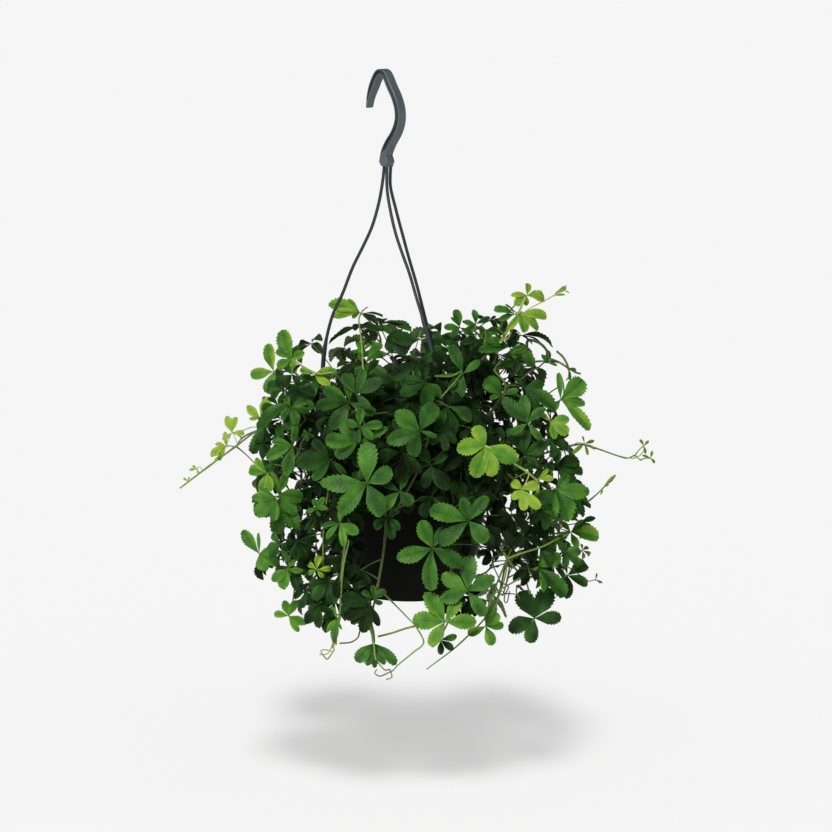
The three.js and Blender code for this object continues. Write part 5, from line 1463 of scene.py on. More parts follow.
# %% Runners and tendrils
RUNNERS = {
    "vine_left": [
        (0.5, 0.4, 0.8, [[-137, 33, 0], [-148, 30, 0], [-157, 28, 0]]),
        (0.4, 0.3, 0.9, [[-183, -6, 0], [-186, -2, 0], [-188, -4, 0]]),
        (0.4, 0.3, 0.9, [[-157, 28, 0], [-160, 22, 0], [-162, 16, 0], [-168, 8, 0]]),
    ],
    "vine_top_right": [
        (1.3, 1.1, 0.85, [[80, 108, 16], [88, 121, 4], [96, 134, -2], [102, 148, 0]]),
        (0.9, 0.8, 0.8, [[85, 110, 12], [93, 125, 2], [99, 135, 0]]),
        (0.6, 0.5, 0.85, [[98, 133, 0], [108, 139, 0], [118, 144, 0], [127, 149, 0], [134, 153, 0]]),
        (0.7, 0.5, 0.7, [[66, 108, 44], [67, 113, 48], [66, 118, 50]]),
        (0.8, 0.6, 0.6, [[56, 101, 54], [58, 112, 54], [58, 124, 55]]),
    ],
    "vine_right_upper": [
        (0.8, 0.6, 0.35, [[105, 81, 4], [114, 86, 2], [121, 90, 0], [129, 88, 0]]),
        (1.1, 0.8, 0.3, [[124, 93, 2], [132, 90, 2], [140, 85, 0], [147, 81, 0], [151, 80, 0]]),
        (0.9, 1.0, 0.45, [[140, 84, 0], [139, 88, 0], [135, 95, 0], [129.5, 100, 0]]),
        (0.7, 0.5, 0.4, [[140, 84, 0], [141, 79, 0], [138, 74, 0]]),
        (1.3, 1.1, 0.25, [[104, 109, 4], [110, 109, 2], [116, 106, 0], [121, 100, 0], [122, 93, 0]]),
        (0.5, 0.6, 0.45, [[118, 60, 2], [126, 65, 0], [134, 70, 0]]),
        (0.9, 0.5, 0.6, [[133, 57, 0], [136, 66, -1], [135, 74, -1], [132, 81, 0]]),
    ],
    "vine_front_right": [
        (1.0, 0.9, 0.9, [[67, 16, -3], [80, 9, -6], [92, 1, -8], [104, -7, -8], [112, -14, -4]]),
        (0.6, 0.5, 0.9, [[105, -8, -6], [103, -15, -6], [99, -22, -4]]),
    ],
    "vine_right_edge": [
        (0.9, 0.8, 0.65, [[141, -60, 2], [130, -66, 0], [116, -73, 0], [100, -78, 2], [86, -83, 6]]),
        (0.7, 0.6, 0.45, [[86, -83, 6], [85, -95, 6], [81, -110, 4], [76, -124, 2], [71, -136, 2]]),
        (0.5, 0.4, 0.5, [[152, -99, 0], [158, -103, 0], [164, -102, 0], [168, -105, 0]]),
    ],
    "vine_right_low": [
        (0.8, 0.7, 0.55, [[113, -91, 4], [100, -99, 4], [86, -107, 4], [76, -113, 4], [70, -122, 4]]),
        (0.6, 0.5, 0.25, [[74, -84, 8], [74, -90, 8], [77, -97, 8], [80, -104, 8]]),
        (0.6, 0.5, 0.25, [[87, -108, 6], [84, -115, 6], [83.5, -121, 6], [85.5, -122, 6], [88, -112, 6]]),
        (0.8, 0.5, 0.3, [[113, -91, 8], [103, -103, 8], [94, -110, 6], [97, -119, 4]]),
    ],
    "vine_front_low": [
        (1.0, 0.9, 0.6, [[8, -142, 2], [-4, -145, 2], [-16, -149, 2], [-28, -152, 2]]),
        (0.8, 0.5, 0.7, [
            [12, -158, -10], [3, -166, -20], [-8, -175, -30], [-19, -184, -40], [-27, -187, -40],
            [-31, -184, -40], [-29, -181, -40],
        ]),
        (0.9, 0.5, 0.75, [
            [-36, -140, 2], [-32, -158, -10], [-30, -172, -25], [-24, -180, -35], [-17, -183, -40],
            [-16, -188, -40], [-21, -190, -40],
        ]),
        (0.7, 0.6, 0.1, [[-43, -146, 4], [-46, -153, 2], [-52, -157, 0], [-62, -158, 0]]),
        (2.2, 1.6, 0.4, [[-36, -138, 3], [-33, -148, 2], [-32, -157, 1]]),
    ],
    "vine_front_left": [
        (0.6, 0.7, 0.6, [[-54, -68, 2], [-58, -86, 2], [-60, -103, 2], [-61, -124, 2], [-64, -142, 2]]),
        (0.9, 0.5, 0.9, [
            [-64, -142, 2], [-67, -158, 0], [-69, -167, 0], [-73, -172, 0], [-77, -168, 0], [-73, -164, 0],
            [-69, -165, 0],
        ]),
        (0.5, 0.4, 0.85, [[-76, -168, 0], [-80, -168, 0]]),
    ],
    "vine_top_left": [
        (0.9, 0.7, 0.8, [[-41, 84, 66], [-42, 100, 66], [-44, 118, 64], [-45, 128, 66], [-43, 134, 66]]),
        (0.4, 0.4, 0.7, [[-43, 134, 66], [-40, 137, 66], [-37, 139, 66]]),
    ],
    "vine_upper_left": [(0.9, 0.7, 0.8, [[-68, 81, 8], [-80, 80, 6], [-92, 85, 2], [-104, 93, 0]])],
    "vine_front_middle": [
        (0.8, 0.6, 0.6, [[46, 82, 20], [36, 78, 18], [22, 78, 16]]),
        (0.4, 0.4, 0.3, [[24, 56, 6], [34, 51, 4], [44, 47, 4]]), (0.6, 0.5, 0.3, [[30, 84, 32]]),
        (0.6, 0.5, 0.3, [[33, 63, 34]]),
    ],
    "vine_right_middle": [
        (0.6, 0.4, 0.85, [[142, 16, 0], [150, 19, 0], [154, 18, 0]]),
        (0.6, 0.4, 0.8, [[191, 5.5, 0], [200, 6, 0], [206.5, 12, 0], [206.5, 16.4, 0]]),
    ],
}
print("runners and tendrils:", sum(map(len, RUNNERS.values())))

# %% [markdown]
# ## Buds and gaps
# A bud is a few narrow young leaflets at a runner's end: its place, its tone, and its leaflets' tips
# with their widths. And where the front view shows foliage between the large leaves, a small leaf
# covers the gap: [across, up, depth, turn, reach, tone]. Buds and covering leaves with tones near 0,
# deep in the bush, are dark leaves of painted shade.

# %% Buds and covering leaves
BUDS = {
    "vine_left": [
        ([-188, -4, 0], 0.95, [[-195, -5, 0.4], [-192, -1, 0.4], [-186, -9, 0.4]]),
        ([-196, -15, 0], 0.95, [[-200, -12, 0.4], [-194, -11, 0.4]]),
        ([-168, 8, 0], 0.95, [[-176, 9, 0.4], [-172, 2, 0.4]]),
    ],
    "vine_top_right": [
        ([127, 149, 0], 0.8, [[138, 157, 0.3], [137, 150, 0.2], [131, 153, 0.36]]),
        ([135, 154, 0], 0.95, [[141, 151, 0.2], [138, 158, 0.3]]),
    ],
    "vine_right_upper": [
        ([121, 90, 0], 0.45, [[116, 97, 0.55], [122, 101, 0.5], [130, 87, 0.3], [127, 93, 0.3]]),
        ([140, 85, 0], 0.5, [[147, 83, 0.4], [141, 74, 0.3]]),
    ],
    "vine_right_middle": [
        ([154, 18, 0], 0.85, [
            [152, 25, 0.24], [163, 21, 0.34], [143, 9, 0.28], [157, 8, 0.3], [164, 13, 0.24],
        ]),
    ],
    "vine_right_edge": [
        ([170, -21, 0], 0.75, [[182, -9, 0.2], [176, -18, 0.24], [168, -27, 0.3]]),
        ([164, -102, 0], 0.6, [[170, -105, 0.3], [165, -96, 0.3]]),
    ],
    "vine_front_middle": [
        # Two dark leaves deep inside, tones near 0: painted shade in front of the strand.
        ([30, 84, 32], 0.06, [[20, 99, 0.5], [38, 98, 0.5], [14, 84, 0.5], [44, 80, 0.5], [28, 66, 0.5]]),
        ([33, 63, 34], 0.04, [[22, 74, 0.5], [42, 74, 0.5], [18, 56, 0.5], [46, 54, 0.5], [32, 46, 0.5]]),
    ],
    "vine_right_low": [
        ([80, -104, 8], 0.15, [[81, -108, 0.6], [77, -103, 0.5]]),
        ([74, -90, 8], 0.15, [[70, -89, 0.5], [79, -90, 0.5]]),
    ],
    "vine_front_left": [([-67, -146, 0], 0.9, [[-72, -136, 0.24], [-65, -160, 0.24], [-62, -138, 0.24]])],
}
COVERS = {
    "vine_upper_left": [
        [-104, 79, 4, 200, 17, 0.25], [-110, 66, 6, 250, 16, 0.3], [-98, 66, 6, 300, 16, 0.2],
    ],
    "vine_front_left": [
        [-80, -124, 8, 270, 22, 0.2], [-52, -108, 14, 250, 20, 0.08], [-76, -136, 5, 280, 12, 0.25],
    ],
    "vine_left_low": [
        [-114, -70, 6, 240, 18, 0.4], [-100, -68, 9, 300, 18, 0.1], [-92, -112, 9, 250, 16, 0.15],
    ],
    "vine_left": [[-129, 19, 6, 260, 16, 0.2], [-116, 52, 4, 200, 16, 0.3]],
    "vine_left_middle": [[-128, -30, 6, 230, 16, 0.35]],
    "vine_right_middle": [
        [124, 22, 8, 330, 20, 0.28], [113, -2, 10, 300, 17, 0.2], [118, -40, 8, 280, 18, 0.3],
    ],
    # Tones near 0: dark leaves of painted shade for the deep shadow beside the pot.
    "vine_front_right_low": [
        [78, -57, 24, 250, 22, 0.0], [70, -74, 22, 250, 15, 0.0], [90, -46, 20, 270, 20, 0.02],
    ],
    # Tones near 0: dark leaves of painted shade for the deep shadow beside the pot.
    "vine_right_low": [
        [100, -64, 14, 290, 22, 0.02], [104, -92, 8, 190, 20, 0.0], [90, -74, 18, 250, 12, 0.0],
    ],
    "vine_right_edge": [
        [114, -74, 7, 300, 17, 0.22], [128, -64, 6, 250, 16, 0.3], [127, -90, 5, 260, 16, 0.3],
    ],
    "vine_right_upper": [
        [96, 108, 14, 200, 16, 0.25], [92, 92, 14, 260, 18, 0.2], [108, 52, 10, 250, 18, 0.2],
    ],
    "vine_top_right": [
        [58, 110, 46, 250, 15, 0.25], [32, 103, 52, 250, 14, 0.2], [86, 122, 14, 220, 16, 0.2],
    ],
}
print("buds:", sum(map(len, BUDS.values())), "covering leaves:", sum(map(len, COVERS.values())))


# %% Runners, buds and covering leaves of one vine
def seen_line(bends):
    """The bends in space. Each is as deep under the bush's surface as its third number says."""
    return np.array([seen(a, u, surface_near(a, u) - sunk) for a, u, sunk in bends])


def stem_points(vine):
    """Points along all the stems of a vine."""
    return np.concatenate([through_bends(path, 8) for _, path in stem_paths(vine)])


def runner_parts(vine):
    """Runners, tendrils and long stalks of one vine, each from the nearest point of its stem."""
    stems = stem_points(vine)
    parts = []
    for start_radius, end_radius, tone, bends in RUNNERS.get(vine["name"], []):
        line = seen_line(bends)
        apart = np.linalg.norm(stems - line[0], axis=1)
        if apart.min() > 1:
            line = np.concatenate([stems[apart.argmin()][None], line])
        line = through_bends(line, 6)
        radii = np.linspace(start_radius, end_radius, len(line))
        parts.append(rods(line[None], radii[None], 6, np.full((1, len(line)), tone)))
    return parts


def bud_leaves(vine):
    """The buds of one vine as small leaves, with a place key of their own for the seen tips."""
    found = []
    for bend, tone, tips in BUDS.get(vine["name"], []):
        hub = seen_line([bend])[0]
        size = np.linalg.norm(np.array(tips)[:, :2] - bend[:2], axis=1).max() / SEEN_LIMIT + 1
        leaf = make_leaf(hub, ACROSS, PLANE_UP, 90, size, 0.7, 3)
        SEEN_TIPS[(*bend, "bud")] = tips
        found.append((hub - 0.5 * leaf["normal"], leaf, tone, (*bend, "bud")))
    return found


def cover_leaves(vine):
    """The leaves that fill the gaps of one vine, each on a stalk from the nearest stem."""
    stems = stem_points(vine)
    found = []
    for number, (across, up, sunk, turn, reach, tone) in enumerate(COVERS.get(vine["name"], [])):
        hub = seen_line([[across, up, sunk]])[0]
        at = stems[np.linalg.norm(stems - hub, axis=1).argmin()]
        found.append((at, make_leaf(hub, ACROSS, PLANE_UP, turn, reach, 0.5, number), tone, None))
    return found


print("most runners on one vine:", max(map(len, RUNNERS.values())))

# %% [markdown]
# ## Dressing the vines
# The draws of each vine start from its own number. A seen leaf has its own tone, and a leaf by rule
# a seeded one. The inner vines' tones are low: painted shade, darker inside the bush.

# %% Dress every vine
# Low tones for the inner vines are painted shade.
INNER_SHADE_TONES = (0.03, 0.3)
OTHER_TONES = (0.25, 0.55)
shade_total = 0
for owner, vine in enumerate(vines):
    rng = np.random.default_rng(owner + 1)
    rule_tones = INNER_SHADE_TONES if "inner" in vine["name"] else OTHER_TONES
    grown = [
        (n["at"], n["leaf"], rng.uniform(*rule_tones) if n["tone"] is None else n["tone"], n["place"])
        for n in leaf_nodes(vine)
    ]
    # The stem's tone follows its leaves' mean tone, painted shade included.
    stem_tone = 0.15 + 0.5 * float(np.mean([tone for _, _, tone, _ in grown]))
    shade = shade_leaves(owner, vine, rng)
    shade_total += len(shade)
    grown += shade + bud_leaves(vine) + cover_leaves(vine)
    parts = [blades(grown, rng), stalk_part(grown), *stem_parts(vine, stem_tone), *runner_parts(vine)]
    name = vine["name"].replace("vine", "leafy")
    make_piece(name, parts, [leaf_green, stem_green], [vine["name"]], sharp=28)
print("leaves of the model:", leaf_count, "more in the shade:", shade_total)
print("triangles so far:", made["triangles"])

# %% [markdown]
# ## The hook
# The hook is one polypropylene moulding in slate grey: a flat I-shaped bar, bent into an open hook,
# with a flared collar below that takes the three strands. The bar is its own section carried along
# the hook's middle line. It narrows and thins towards its tip and widens towards the collar. The
# section's grooves fade out near both ends. The seat under the crown is pressed flat.

# %% Hook bar
HOOK_TURN = -45
HOOK_THICK = 9
HOOK_TIP_THICK = 7.6
HOOK_WIDTH = 5.4
HOOK_TIP_WIDTH = 1.8
HOOK_TIP_SHARE = 0.15
HOOK_FOOT_WIDTH = 7.4
HOOK_FOOT_SHARE = 0.35
HOOK_FLANGE = 1
HOOK_GROOVE_DEPTH = 3.3
HOOK_LINE = [
    [-17.3, -27.8], [-15.3, -19], [-10.9, -9], [-5.7, -0.3], [-2.8, 2.1], [0, 2.45], [3.2, 1.4],
    [6.4, -2.4], [10.2, -9], [16.5, -19], [20.2, -29], [20.2, -39], [16, -48.7], [8.4, -58.6],
    [3.7, -67.5], [3.3, -74],
]
SEAT_WIDTH = 3.6
EDGE = 0.4
GROOVE_FROM = 0.045
GROOVE_TO = 0.95
GROOVE_FADE = 0.03


def capped_rings(rings):
    """Rings of points, joined by quads and closed by a fan of triangles at both ends."""
    points = np.concatenate([rings.reshape(-1, 3), rings[:1].mean(1), rings[-1:].mean(1)])
    return points[None], *tube_faces(*rings.shape[:2])


def bar_section(width, thick, depth):
    """The I section as [aside, across the thickness] for each ring: one half from one flange's tip
    to the other's, with a small chamfer on each outer corner, and the same half turned round."""
    w, t, zero = width / 2, thick / 2, np.zeros_like(width)
    g = np.maximum(w - HOOK_FLANGE, 0.3 * w)
    e = np.minimum(EDGE, 0.3 * w)
    slope = 0.2 * (w - e) / HOOK_WIDTH + zero
    corner = [
        (-w, t - e), (e - w, t), (-g - slope, t), (-g, t - slope), (-g + slope, t - depth),
        (g - slope, t - depth), (g, t - slope), (g + slope, t), (w - e, t), (w, t - e),
    ]
    half = np.stack([np.stack(c, -1) for c in corner], 1)
    return np.concatenate([half, -half], 1)


def hook_rings():
    """The section's rings along the middle line, in the hook's own plane. The bar's width and
    thickness depend on the share of the line's length."""
    line = through_bends(np.array([[s, 0, z] for s, z in HOOK_LINE], float), 8)
    slope = unit(np.gradient(line, axis=0))
    aside = np.stack([-slope[:, 2], np.zeros(len(line)), slope[:, 0]], -1)
    share = np.append(0, np.cumsum(np.linalg.norm(np.diff(line, axis=0), axis=1)))
    share = share / share[-1]
    tip = np.clip(share / HOOK_TIP_SHARE, 0, 1)
    foot = np.clip(1 - (1 - share) / HOOK_FOOT_SHARE, 0, 1)
    width = HOOK_TIP_WIDTH + (HOOK_WIDTH - HOOK_TIP_WIDTH) * tip
    width = width + (HOOK_FOOT_WIDTH - HOOK_WIDTH) * foot
    thick = HOOK_TIP_THICK + (HOOK_THICK - HOOK_TIP_THICK) * tip
    fade = np.minimum((share - GROOVE_FROM) / GROOVE_FADE, (GROOVE_TO - share) / GROOVE_FADE)
    fade = np.clip(fade, 0, 1)
    section = bar_section(width, thick, 0.05 + HOOK_GROOVE_DEPTH * fade)
    rings = line[:, None] + section[..., :1] * aside[:, None]
    rings[..., 1] = section[..., 1]
    turns = np.radians([80, 55, 30])
    nose = line[0] - np.sin(turns)[:, None] * width[0] / 2 * slope[0]
    ends = nose[:, None] + section[0, :, :1] * np.cos(turns)[:, None, None] * aside[0]
    ends[..., 1] = section[0, :, 1] * (0.85 + 0.15 * np.cos(turns))[:, None]
    rings = np.concatenate([ends, rings])
    under_crown = (np.abs(rings[..., 0]) < SEAT_WIDTH / 2) & (rings[..., 2] > -4)
    rings[..., 2] = np.where(under_crown, np.maximum(rings[..., 2], 0), rings[..., 2])
    return rings


def turned(points, degrees, axis_x=0):
    """Points turned about the origin's upright line, which is then moved to axis_x."""
    a = math.radians(degrees)
    x = axis_x + points[..., 0] * math.cos(a) - points[..., 1] * math.sin(a)
    y = points[..., 0] * math.sin(a) + points[..., 1] * math.cos(a)
    return np.stack([x, y, points[..., 2]], -1)


print("rings of the hook's bar:", len(hook_rings()))

# %% [markdown]
# ## The hook's collar
# The collar is a rounded block that flares towards its foot, where the strands go in. It is a stack
# of level rings. A low ring round each strand hides the play in its socket.

# %% Hook collar
COLLAR_MIDDLE = 3.9
COLLAR_TOP = -69.5
COLLAR_WIDTH = 11.2
COLLAR_THICK = 9.6
SOCKET_SIDES = 16


def rounded_ring(centre, width, thick, z, corner):
    """One level ring of a rounded rectangle: straight sides with four points round each corner."""
    turns = np.radians(np.array([[6, 32, 58, 84]]) + np.array([[0], [90], [180], [270]])).ravel()
    sign_x = np.sign(np.cos(turns))
    sign_y = np.sign(np.sin(turns))
    x = centre + sign_x * (width / 2 - corner) + corner * np.cos(turns)
    y = sign_y * (thick / 2 - corner) + corner * np.sin(turns)
    return np.stack([x, y, np.full(len(turns), float(z))], -1)


def collar_rings():
    """Level rings of [middle, width, thickness, height, corner radius]: a foot with wide rounded
    corners, the flared rim, and a neck that the bar runs into."""
    middle, width, thick, foot = COLLAR_MIDDLE, COLLAR_WIDTH, COLLAR_THICK, COLLAR_BOTTOM
    levels = [
        (middle, width - 1.2, thick - 0.8, foot, 4),
        (middle, width - 0.5, thick - 0.2, foot + 0.5, 3.8),
        (middle, width, thick, foot + 2.2, 2.6),
        (middle, width, thick, foot + 3.4, 1.6),
        (middle, width - 0.6, thick - 0.1, foot + 4.4, 1.3),
        (middle - 0.2, width - 1.8, thick - 0.3, foot + 6.2, 1.1),
        (middle - 0.4, width - 3, thick - 0.5, foot + 8.4, 1),
        (middle - 0.5, width - 3.7, thick - 0.9, COLLAR_TOP, 0.8),
    ]
    return np.stack([rounded_ring(*level) for level in levels])


def socket_part(strand):
    """A low ring round a strand where it enters the collar."""
    x, y = strand["socket"]
    z = COLLAR_BOTTOM + np.array([0.6, -0.5, -0.7, -0.7, -0.4])
    radii = np.array([2.5, 2.3, 2.1, 1.75, 1.5])
    turn = full_turn(SOCKET_SIDES)
    ring = np.stack([np.cos(turn), np.sin(turn)], -1)
    level = np.array([x, y]) + radii[:, None, None] * ring
    heights = np.broadcast_to(z[:, None, None], (len(z), SOCKET_SIDES, 1))
    return plain_part(*capped_rings(np.concatenate([level, heights], -1)[::-1]))


print("levels of the collar:", len(collar_rings()))

# %% [markdown]
# ## Finishes of the moulded plastics
# Hook, strands and pot are polypropylene. The hook and strands come from polished moulds, slightly
# glossy, with a faint unevenness that softens the reflections. The pot's mould has a fine matt grain,
# and its colour has slow paler clouds. IOR is about 1.49.


# %% Plastic materials
def plastic(name, colour, paler, roughness, grain_mm, grain_deep, shine):
    """Moulded polypropylene: one colour with slow cloudy changes, and a grain of a real size."""
    material, tree, place = new_material(name)
    cloud = noise(tree, place, 45, 4)
    shade = mixed(tree, mapped(tree, cloud, 0.35, 0.7, 0.0, 1.0), linear(colour), linear(paler))
    grain = noise(tree, place, 1 / (grain_mm * MM), 1)
    return principled(material, {
        "Base Color": shade,
        "Roughness": mapped(tree, cloud, 0.3, 0.7, roughness - 0.06, roughness + 0.08),
        "IOR": 1.49,
        "Specular IOR Level": shine,
        "Normal": bumped(tree, grain, 0.6, grain_deep * MM),
    })


hook_plastic = plastic("polypropylene_moulded_slate", "#4c565a", "#566064", 0.42, 0.8, 0.05, 0.4)
strand_plastic = plastic("polypropylene_drawn_dark_slate", "#2c3234", "#343b3d", 0.42, 0.6, 0.02, 0.3)
pot_plastic = plastic("polypropylene_moulded_black_grain", "#0a0b09", "#11130f", 0.6, 0.7, 0.08, 0.04)

shapes = [capped_rings(turned(rings, HOOK_TURN)) for rings in (hook_rings(), collar_rings())]
hook_parts = [plain_part(*shape) for shape in shapes] + [socket_part(strand) for strand in STRANDS]
make_piece("hook_moulding", hook_parts, [hook_plastic], ["hook"], sharp=32)
print("triangles so far:", made["triangles"])

# %% [markdown]
# ## The strands
# Each strand is a thin drawn rod above and a thicker leg below, moulded in one with the clip that
# grips the rim. The clip's section is a hairpin with rounded outer corners, carried across its width.

# %% Strands and clips
STRAND_THIN = 1.4
STRAND_THICK = 2
CLIP_WIDTH = 9
CLIP_LEG = 10
CLIP_THICK = 2.2
CLIP_EDGE = 0.4
CLIP_EDGE_SHARE = 0.985
STRAND_STEPS = 6
STRAND_SIDES = 12


def clip_part(foot):
    """The hairpin over the rim as [distance from the axis, height], carried across its width, with
    a narrower section at both sides for a soft edge."""
    inner = RIM_RADIUS - WALL - 0.75
    outer = RIM_RADIUS + GAP
    top = RIM_Z + GAP + CLIP_THICK
    low = RIM_Z - CLIP_LEG
    t = CLIP_THICK
    outline = np.array([
        [inner - t, low + 0.6], [inner - t + 0.6, low], [inner, low], [inner, RIM_Z + GAP],
        [outer, RIM_Z + GAP], [outer, low], [outer + t - 0.6, low], [outer + t, low + 0.6],
        [outer + t, top - 1.2], [outer + t - 0.4, top - 0.4], [outer + t - 1.2, top],
        [inner - t + 1.2, top], [inner - t + 0.4, top - 0.4], [inner - t, top - 1.2],
    ])
    middle = np.array([(inner + outer) / 2, RIM_Z])
    half = CLIP_WIDTH / 2
    soft = half - CLIP_EDGE
    spread = [(-half, CLIP_EDGE_SHARE), (-soft, 1), (soft, 1), (half, CLIP_EDGE_SHARE)]
    rings = []
    for aside, share in spread:
        flat = middle + (outline - middle) * share
        rings.append(np.stack([flat[:, 0], np.full(len(flat), aside), flat[:, 1]], -1))
    rings = turned(np.stack(rings), foot, AXIS_X)
    return plain_part(rings.reshape(1, -1, 3), clip_faces(*rings.shape[:2]), [])


def clip_faces(rows, columns):
    """Quads round the hairpin, and its two sides as quads between its inner and outer outline."""
    side = np.array([
        [0, 1, 2, 3], [0, 3, 12, 13], [3, 4, 11, 12], [4, 9, 10, 11], [4, 5, 8, 9], [5, 6, 7, 8],
    ])
    round_it = tube_faces(rows, columns)[0][:, ::-1]
    return np.concatenate([round_it, side, side[:, ::-1] + (rows - 1) * columns])


for strand in STRANDS:
    line = through_bends(strand_line(strand), STRAND_STEPS)
    change = (strand["thick_from"] + 2) * STRAND_STEPS
    radii = np.where(np.arange(len(line)) < change, STRAND_THIN, STRAND_THICK)
    radii[change - 1] = (STRAND_THIN + STRAND_THICK) / 2
    rod = rods(line[None], radii[None], STRAND_SIDES, 0.0, finish=0)
    name = strand["name"].replace("strand", "hanger")
    parts = [rod, clip_part(strand["foot"])]
    make_piece(name, parts, [strand_plastic], [strand["name"]], sharp=40)
print("strands:", len(STRANDS))

# %% [markdown]
# ## The pot
# The pot is turned about its axis: a stepped foot, a wall that widens upwards, and a band below the
# rim, which stiffens it and gives the clips their hold. The profile is a list of [radius, height]
# places, with small extra places at each corner so that the corner shades as a rounding.

# %% Pot
POT_SIDES = 96
POT_ROUNDING = 0.9
POT_FLOOR_Z = BASE_Z + WALL + 0.4


def lathe(profile, sides):
    """A closed profile, carried round the pot's axis. Both its ends lie on the axis."""
    profile = np.array(profile, float)
    turn = full_turn(sides)
    rows = profile[1:-1]
    x = AXIS_X + rows[:, :1] * np.cos(turn)
    y = rows[:, :1] * np.sin(turn)
    rings = np.stack([x, y, np.broadcast_to(rows[:, 1:], x.shape)], -1)
    points, quads, tris = capped_rings(rings)
    points[0, -2] = [AXIS_X, 0, profile[0, 1]]
    points[0, -1] = [AXIS_X, 0, profile[-1, 1]]
    return points, quads, tris


def corner(profile, size):
    """Every inner corner of a profile replaced by three places on a small rounding."""
    profile = np.array(profile, float)
    before, here, after = profile[:-2], profile[1:-1], profile[2:]
    back = np.minimum(size, np.linalg.norm(before - here, axis=1) / 2.5)[:, None]
    on = np.minimum(size, np.linalg.norm(after - here, axis=1) / 2.5)[:, None]
    start = here + unit(before - here) * back
    end = here + unit(after - here) * on
    middle = here * 0.5 + (start + end) * 0.25
    rounded = np.stack([start, middle, end], 1).reshape(-1, 2)
    return np.concatenate([profile[:1], rounded, profile[-1:]])


shoulder = RIM_RADIUS - BAND_STEP
POT_PROFILE = [
    [0, BASE_Z],
    [BASE_RADIUS, BASE_Z],
    [BASE_RADIUS + 1.4, BASE_Z + FOOT_HEIGHT],
    [BASE_RADIUS + 3, BASE_Z + FOOT_HEIGHT + 0.8],
    [shoulder, RIM_Z - BAND_HEIGHT - 1],
    [RIM_RADIUS - 0.4, RIM_Z - BAND_HEIGHT],
    [RIM_RADIUS, RIM_Z],
    [RIM_RADIUS - WALL, RIM_Z],
    [RIM_RADIUS - WALL - 0.2, RIM_Z - BAND_HEIGHT],
    [RIM_RADIUS - WALL - BAND_STEP, RIM_Z - BAND_HEIGHT - 1],
    [BASE_RADIUS - 1, POT_FLOOR_Z],
    [0, POT_FLOOR_Z],
]
pot_part = plain_part(*lathe(corner(POT_PROFILE, POT_ROUNDING), POT_SIDES))
make_piece("pot_turned", [pot_part], [pot_plastic], ["pot"], sharp=40)
print("pot points:", len(pot_part["points"]))

# %% [markdown]
# ## The soil
# Potting soil is a mix of dark peat crumbs, with a few white grains of perlite. Its surface is a low
# dome, roughened by three sizes of waves, and loose crumbs lie on it. Each crumb is an eight-sided
# stone with its corners pushed in and out by seeded draws.


# %% Soil
def soil_material(name, dark, light):
    """Peat: two browns mixed by a crumbly noise of about 2 mm, very rough."""
    material, tree, place = new_material(name)
    crumb = add(tree, "ShaderNodeTexVoronoi", {"Vector": place, "Scale": 420}).outputs[0]
    both = sums(tree, "MULTIPLY", crumb, noise(tree, place, 150, 5))
    return principled(material, {
        "Base Color": ramp(tree, both, [(0.05, dark), (0.5, light)]), "Roughness": 0.95, "IOR": 1.4,
        "Normal": bumped(tree, both, 0.9, 0.001),
    })


SOIL_TOP = RIM_Z - SOIL_DROP
SOIL_DOME = 3.6
SOIL_RINGS = 26
SOIL_SIDES = 72
SOIL_WAVES = ((22, 0.5), (9, 0.35), (4.5, 0.3))
wall_top = RIM_RADIUS - WALL - BAND_STEP
wall_bottom = BASE_RADIUS - 1
soil_share = (SOIL_DROP - BAND_HEIGHT - 1) / (POT_HEIGHT - BAND_HEIGHT - WALL - 1.4)
SOIL_EDGE = wall_top - (wall_top - wall_bottom) * soil_share - GAP - 0.1


def dome(radii):
    """Height of the soil's dome at distances from its middle."""
    return SOIL_TOP + SOIL_DOME * (1 - (radii / SOIL_EDGE) ** 2)


def soil_shape(rng):
    """Side and bottom as straight rings, and the top as rings whose heights are a dome plus waves,
    each with its pitch and depth."""
    radii = np.concatenate([[wall_bottom - GAP, SOIL_EDGE], np.linspace(SOIL_EDGE, 2, SOIL_RINGS)[1:]])
    bottom = POT_FLOOR_Z + GAP
    height = np.concatenate([[bottom, SOIL_TOP], dome(radii[2:])])
    turn = full_turn(SOIL_SIDES)
    x = AXIS_X + radii[:, None] * np.cos(turn)
    y = radii[:, None] * np.sin(turn)
    z = np.broadcast_to(height[:, None], x.shape).copy()
    for pitch, deep in SOIL_WAVES:
        for _ in range(3):
            way = rng.uniform(0, 2 * np.pi)
            wave = np.sin(2 * np.pi * (x * np.cos(way) + y * np.sin(way)) / pitch + rng.uniform(0, 6))
            z[2:] += deep * wave[2:]
    points, quads, tris = capped_rings(np.stack([x, y, z], -1))
    points[0, -2] = [AXIS_X, 0, bottom]
    return points, quads, tris


def crumbs(count, size, rng):
    """Loose crumbs on the dome: octahedra with seeded corners, sunk by about a third."""
    corners = np.array([[1, 0, 0], [0, 1, 0], [-1, 0, 0], [0, -1, 0], [0, 0, 1], [0, 0, -1.0]])
    faces = [[0, 1, 4], [1, 2, 4], [2, 3, 4], [3, 0, 4], [1, 0, 5], [2, 1, 5], [3, 2, 5], [0, 3, 5]]
    r = SOIL_EDGE * 0.96 * np.sqrt(rng.uniform(0, 1, count))
    a = rng.uniform(0, 2 * np.pi, count)
    at = np.stack([AXIS_X + r * np.cos(a), r * np.sin(a), dome(r) + 0.2], -1)
    big = rng.uniform(0.5, 1, count)[:, None, None] * size
    points = at[:, None] + corners * big * rng.uniform(0.6, 1.2, (count, 6, 1))
    return plain_part(points, [], faces)


